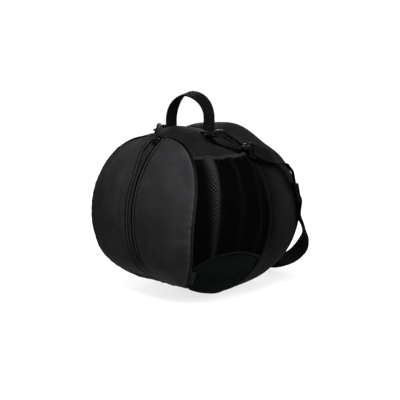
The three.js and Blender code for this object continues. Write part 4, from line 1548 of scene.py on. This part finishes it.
def sew(name, lines):
    """One piece of stitching from several (points, pieces below) lines."""
    sizes, _ = settings()
    trees = {}
    found = []
    for points, names in lines:
        for n in names:
            if n not in trees:
                trees[n] = surface_tree(n)
        found.append(stitch_line(points, [trees[n] for n in names], sizes.stitch / MM * STITCH_ROOM))
    deselect()
    bpy.ops.mesh.primitive_uv_sphere_add(segments=6, ring_count=4, radius=1.0)
    stitch = bpy.context.active_object
    stitch.data.transform(Matrix.Rotation(math.pi / 2, 4, "Y"))
    stitch.data.transform(Matrix.Diagonal((sizes.stitch / 2, STITCH_WIDE, STITCH_HIGH, 1.0)))
    places, ways, ups = (np.concatenate([f[k] for f in found]) for k in range(3))
    obj = copies(name, stitch, places, ways, ups)
    return dress(obj, finishes()["thread"], "polyester")


def above(skin):
    return skin + skin_normal(skin) * STITCH_START


def sew_ring(name, seam, start, count, rows):
    """Rows of stitching along a ring seam, each a distance from it and the pieces it goes through."""
    angles = ring_angles(start, count, False)
    y = seam_y(seam, angles)
    sew(name, [(above(skin_at(angles, y + offset)), names) for offset, names in rows])


def crossed_box(hand):
    """Lines of the box and cross that hold a foot of the handle."""
    x = MIRROR[hand][0] * (HANDLE_HALF[hand] + BOX_ENDS)
    y = HANDLE_Y + BOX_SIDES
    a, b, c, d = (np.array(corner) for corner in ((x[0], y[0]), (x[1], y[0]), (x[1], y[1]), (x[0], y[1])))
    t = np.linspace(0, 1, 20)[:, None]
    for start, end in ((a, b), (b, c), (c, d), (d, a), (a, c), (b, d)):
        yield np.array([(px, py, crown(px, py) + 6.0) for px, py in start * (1 - t) + end * t])


class BAG_OT_stitching(bpy.types.Operator):
    """Sew the ring seams, the zip's hems, the back seam and the handle's feet"""

    bl_idname = "ball_bag.stitching"
    bl_label = "Stitching"

    def execute(self, context):
        fronts, backs = ([f"gore_{end}_{hand}" for hand in HANDS] for end in ("front", "back"))
        walls = ["band", "base"]
        sew_ring("stitches_front_ring", FRONT_SEAM, -80, 500, ((-4.6, fronts), (4.2, walls)))
        sew_ring("stitches_back_ring", BACK_SEAM, -58, 440, ((-4.4, walls), (4.6, backs)))
        angles = np.linspace(-13.6 * ROW_STEP, 13.2 * ROW_STEP, 300)
        z = zip_height(angles)
        hems = []
        for hand, name in zip(HANDS, fronts):
            edge = MIRROR[hand][0] * (zip_edge(hand, angles, z) + ZIP_GROOVE[hand] + 2.0) - zip_drift(z)
            hems.append((zip_line(angles, edge, STITCH_START), [name]))
        sew("stitches_zip", hems)
        z = np.linspace(-100, 122, 300)
        spine = []
        for hand, name in zip(HANDS, backs):
            spine.append((above(section_point(z, turn_at_x(z, MIRROR[hand][0] * 4.4, 1))), [name]))
        sew("stitches_spine", spine)
        sew("stitches_handle", [(line, ["handle"]) for hand in HANDS for line in crossed_box(hand)])
        return {"FINISHED"}


# Stage

def studio_piece(name, finish):
    """Names and dresses what was just added; the camera sees it, but it lights nothing."""
    _, colours = settings()
    obj = named(name)
    material = finish_of(finish, grained, colours.floor, 60.0, 0.00001, 0.9, 0.0, 0.0)
    paint(material.node_tree, emission_color=(1, 1, 1, 1))
    obj.data.materials.append(material)
    obj.visible_diffuse = False
    obj.visible_glossy = False
    return obj, material


def studio_floor():
    """A pale round floor, glowing less near the bag: a painted shadow behind it."""
    bpy.ops.mesh.primitive_circle_add(vertices=96, radius=FLOOR_RADIUS, fill_type="NGON")
    floor, material = studio_piece("studio_floor", "Pale floor")
    tree = material.node_tree
    where = tree.nodes.new("ShaderNodeTexCoord")
    far = tree.nodes.new("ShaderNodeVectorMath")
    far.operation = "DISTANCE"
    far.inputs[1].default_value = Vector(to_frame(PAINTED_SHADOW_MIDDLE))
    tree.links.new(where.outputs["Object"], far.inputs[0])
    # Painted shadow: the floor glows less within a quarter metre of a point behind the bag
    paint(tree, emission_strength=ranged(tree, far.outputs["Value"], 0.1, 0.25, 0.74, 0.97))
    return floor


def studio_wall():
    """A white wall round the floor, which casts no shadow."""
    bpy.ops.mesh.primitive_cylinder_add(vertices=96, radius=WALL_RADIUS, depth=WALL_HEIGHT,
                                        end_fill_type="NOTHING", location=(0, 0, WALL_HEIGHT / 2))
    bpy.ops.object.transform_apply()
    wall, material = studio_piece("studio_wall", "White wall")
    paint(material.node_tree, emission_strength=1.0)
    material.cycles.emission_sampling = "NONE"
    wall.visible_shadow = False
    return wall


def studio_world():
    """Soft light from all round, dimmer overhead and from the left."""
    world = bpy.data.worlds.new("Studio")
    world.use_nodes = True
    tree = world.node_tree
    where = tree.nodes.new("ShaderNodeTexCoord")
    split = tree.nodes.new("ShaderNodeSeparateXYZ")
    tree.links.new(where.outputs["Generated"], split.inputs[0])
    x, y, z = split.outputs
    overhead = ranged(tree, z, 0.2, 0.45, 1.05, 0.26)
    low = ranged(tree, z, -0.3, -0.08, 1.4, 1.0)
    right = calc(tree, "MULTIPLY_ADD", calc(tree, "MINIMUM", z, 0.0), -2.5, calc(tree, "ADD", x, y))
    dim_left = ranged(tree, right, -1.2, -0.2, 0.15, 1.0)
    sky = tree.nodes["Background"].inputs
    feed(tree, sky["Strength"], calc(tree, "MULTIPLY", calc(tree, "MULTIPLY", overhead, low), dim_left))
    feed(tree, sky["Color"], (1, 1, 1, 1))
    return world


def soft_light(name, size, watts, at, target):
    deselect()
    bpy.ops.object.light_add(type="AREA", location=at)
    light = bpy.context.active_object
    light.name = name
    light.data.shape = "DISK"
    light.data.size = size
    light.data.energy = watts
    light.rotation_euler = (target - Vector(at)).to_track_quat("-Z", "Y").to_euler()


def photo_camera(target):
    side, up = math.radians(CAMERA_SIDE), math.radians(CAMERA_UP)
    way = Vector((-math.cos(side) * math.cos(up), math.sin(side) * math.cos(up), -math.sin(up)))
    data = bpy.data.cameras.new("camera")
    data.sensor_fit = "HORIZONTAL"
    data.angle = 2 * math.atan(CAMERA_SPAN / 2 / CAMERA_FAR)
    data.shift_x, data.shift_y = FRAME_SHIFT
    camera = bpy.data.objects.new("camera", data)
    camera.location = target - way * CAMERA_FAR * MM
    camera.rotation_euler = way.to_track_quat("-Z", "Y").to_euler()
    return camera


class BAG_OT_stage(bpy.types.Operator):
    """Set the pale floor, the white wall, soft lights and the camera"""

    bl_idname = "ball_bag.stage"
    bl_label = "Stage"

    def execute(self, context):
        scene = context.scene
        scene.view_settings.view_transform = "Standard"
        deselect()
        floor = studio_floor()
        wall = studio_wall()
        scene.world = studio_world()
        middle = Vector(to_frame(np.zeros(3)))
        for name, (size, watts, at) in LIGHTS.items():
            soft_light(name, size, watts, at, middle)
        camera = photo_camera(middle)
        scene.collection.objects.link(camera)
        scene.camera = camera
        return {"FINISHED"}


# Settings, panel and making the whole bag

def colour(name, description, value):
    return FloatVectorProperty(name=name, description=description, subtype="COLOR", size=3, min=0, max=1,
                               default=value)


def length(name, description, value):
    return FloatProperty(name=name, description=description, default=value, min=0.0, unit="LENGTH",
                         precision=5)


class BagSizes(bpy.types.PropertyGroup):
    """Sizes that a maker would change"""

    cloth: length("Cloth", "Thickness of the panels", 0.0016)
    puff: length("Puff", "How far a gore swells between its seams", 0.003)
    dent: length("Dents", "Depth of the soft dents in the filled cloth", 0.0019)
    weave: length("Weave", "Two yarns of the polyester", 0.0014)
    rib: length("Webbing rib", "One slanting rib of the webbing", 0.0021)
    webbing: length("Webbing width", "Width of handle and strap", 0.022)
    webbing_thick: length("Webbing thickness", "Thickness of handle and strap", 0.0022)
    net_pitch: length("Net pitch", "Width of one cell of the net", 0.0035)
    strand: length("Net strand", "Thickness of one strand of the net", 0.0017)
    stitch: length("Stitch", "Length of one stitch", 0.0028)


class BagColours(bpy.types.PropertyGroup):
    """Colours of the bag's finishes and of the floor"""

    cloth: colour("Cloth", "Black polyester", (0.0105, 0.0105, 0.0112))
    # Painted shade: the front's polyester made darker to stand in for its sheen across the grain
    cross: colour("Cloth with painted shade", "Band and back gores", (0.0031, 0.0031, 0.0034))
    base: colour("Base", "Coated base cloth", (0.0023, 0.0031, 0.0027))
    net: colour("Net", "Net yarn", (0.0005, 0.0005, 0.00054))
    webbing: colour("Webbing", "Handle and strap", (0.0016, 0.0016, 0.0017))
    binding: colour("Binding", "Elastic of the pockets", (0.0066, 0.0066, 0.0070))
    piping: colour("Piping", "Folded beads over the ring seams", (0.0050, 0.0050, 0.0054))
    tape: colour("Zip tape", "Woven tape of the zip", (0.0078, 0.0078, 0.0083))
    coil: colour("Zip coil", "Teeth of the zip", (0.0095, 0.0095, 0.0100))
    thread: colour("Thread", "Sewing thread", (0.0100, 0.0100, 0.0108))
    plastic: colour("Plastic", "Hooks, eyes and adjuster", (0.0005, 0.0005, 0.00055))
    metal: colour("Metal", "Slider, pull and rings", (0.016, 0.016, 0.017))
    floor: colour("Floor", "Studio floor", (0.15, 0.15, 0.15))


OPERATORS = (
    BAG_OT_stage, BAG_OT_front_gores, BAG_OT_back_gores, BAG_OT_band, BAG_OT_ring_beads, BAG_OT_zip,
    BAG_OT_net_pockets, BAG_OT_handle, BAG_OT_strap, BAG_OT_fittings, BAG_OT_label, BAG_OT_stitching,
)


class BAG_PT_panel(bpy.types.Panel):
    """The bag's sizes, colours and pieces"""

    bl_label = "Ball bag"
    bl_idname = "BAG_PT_panel"
    bl_space_type = "VIEW_3D"
    bl_region_type = "UI"
    bl_category = "Ball bag"

    def draw(self, context):
        for group in (context.scene.ball_bag_sizes, context.scene.ball_bag_colours):
            for key in group.__annotations__:
                self.layout.prop(group, key)
        for operator in OPERATORS:
            self.layout.operator(operator.bl_idname)


CLASSES = (BagSizes, BagColours, *OPERATORS, BAG_PT_panel)


def register():
    for cls in CLASSES:
        bpy.utils.register_class(cls)
    bpy.types.Scene.ball_bag_sizes = PointerProperty(type=BagSizes)
    bpy.types.Scene.ball_bag_colours = PointerProperty(type=BagColours)


def unregister():
    del bpy.types.Scene.ball_bag_colours
    del bpy.types.Scene.ball_bag_sizes
    for cls in reversed(CLASSES):
        bpy.utils.unregister_class(cls)


def main():
    register()
    for operator in OPERATORS:
        group, name = operator.bl_idname.split(".")
        getattr(getattr(bpy.ops, group), name)()
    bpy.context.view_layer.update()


if __name__ == "__main__":
    main()
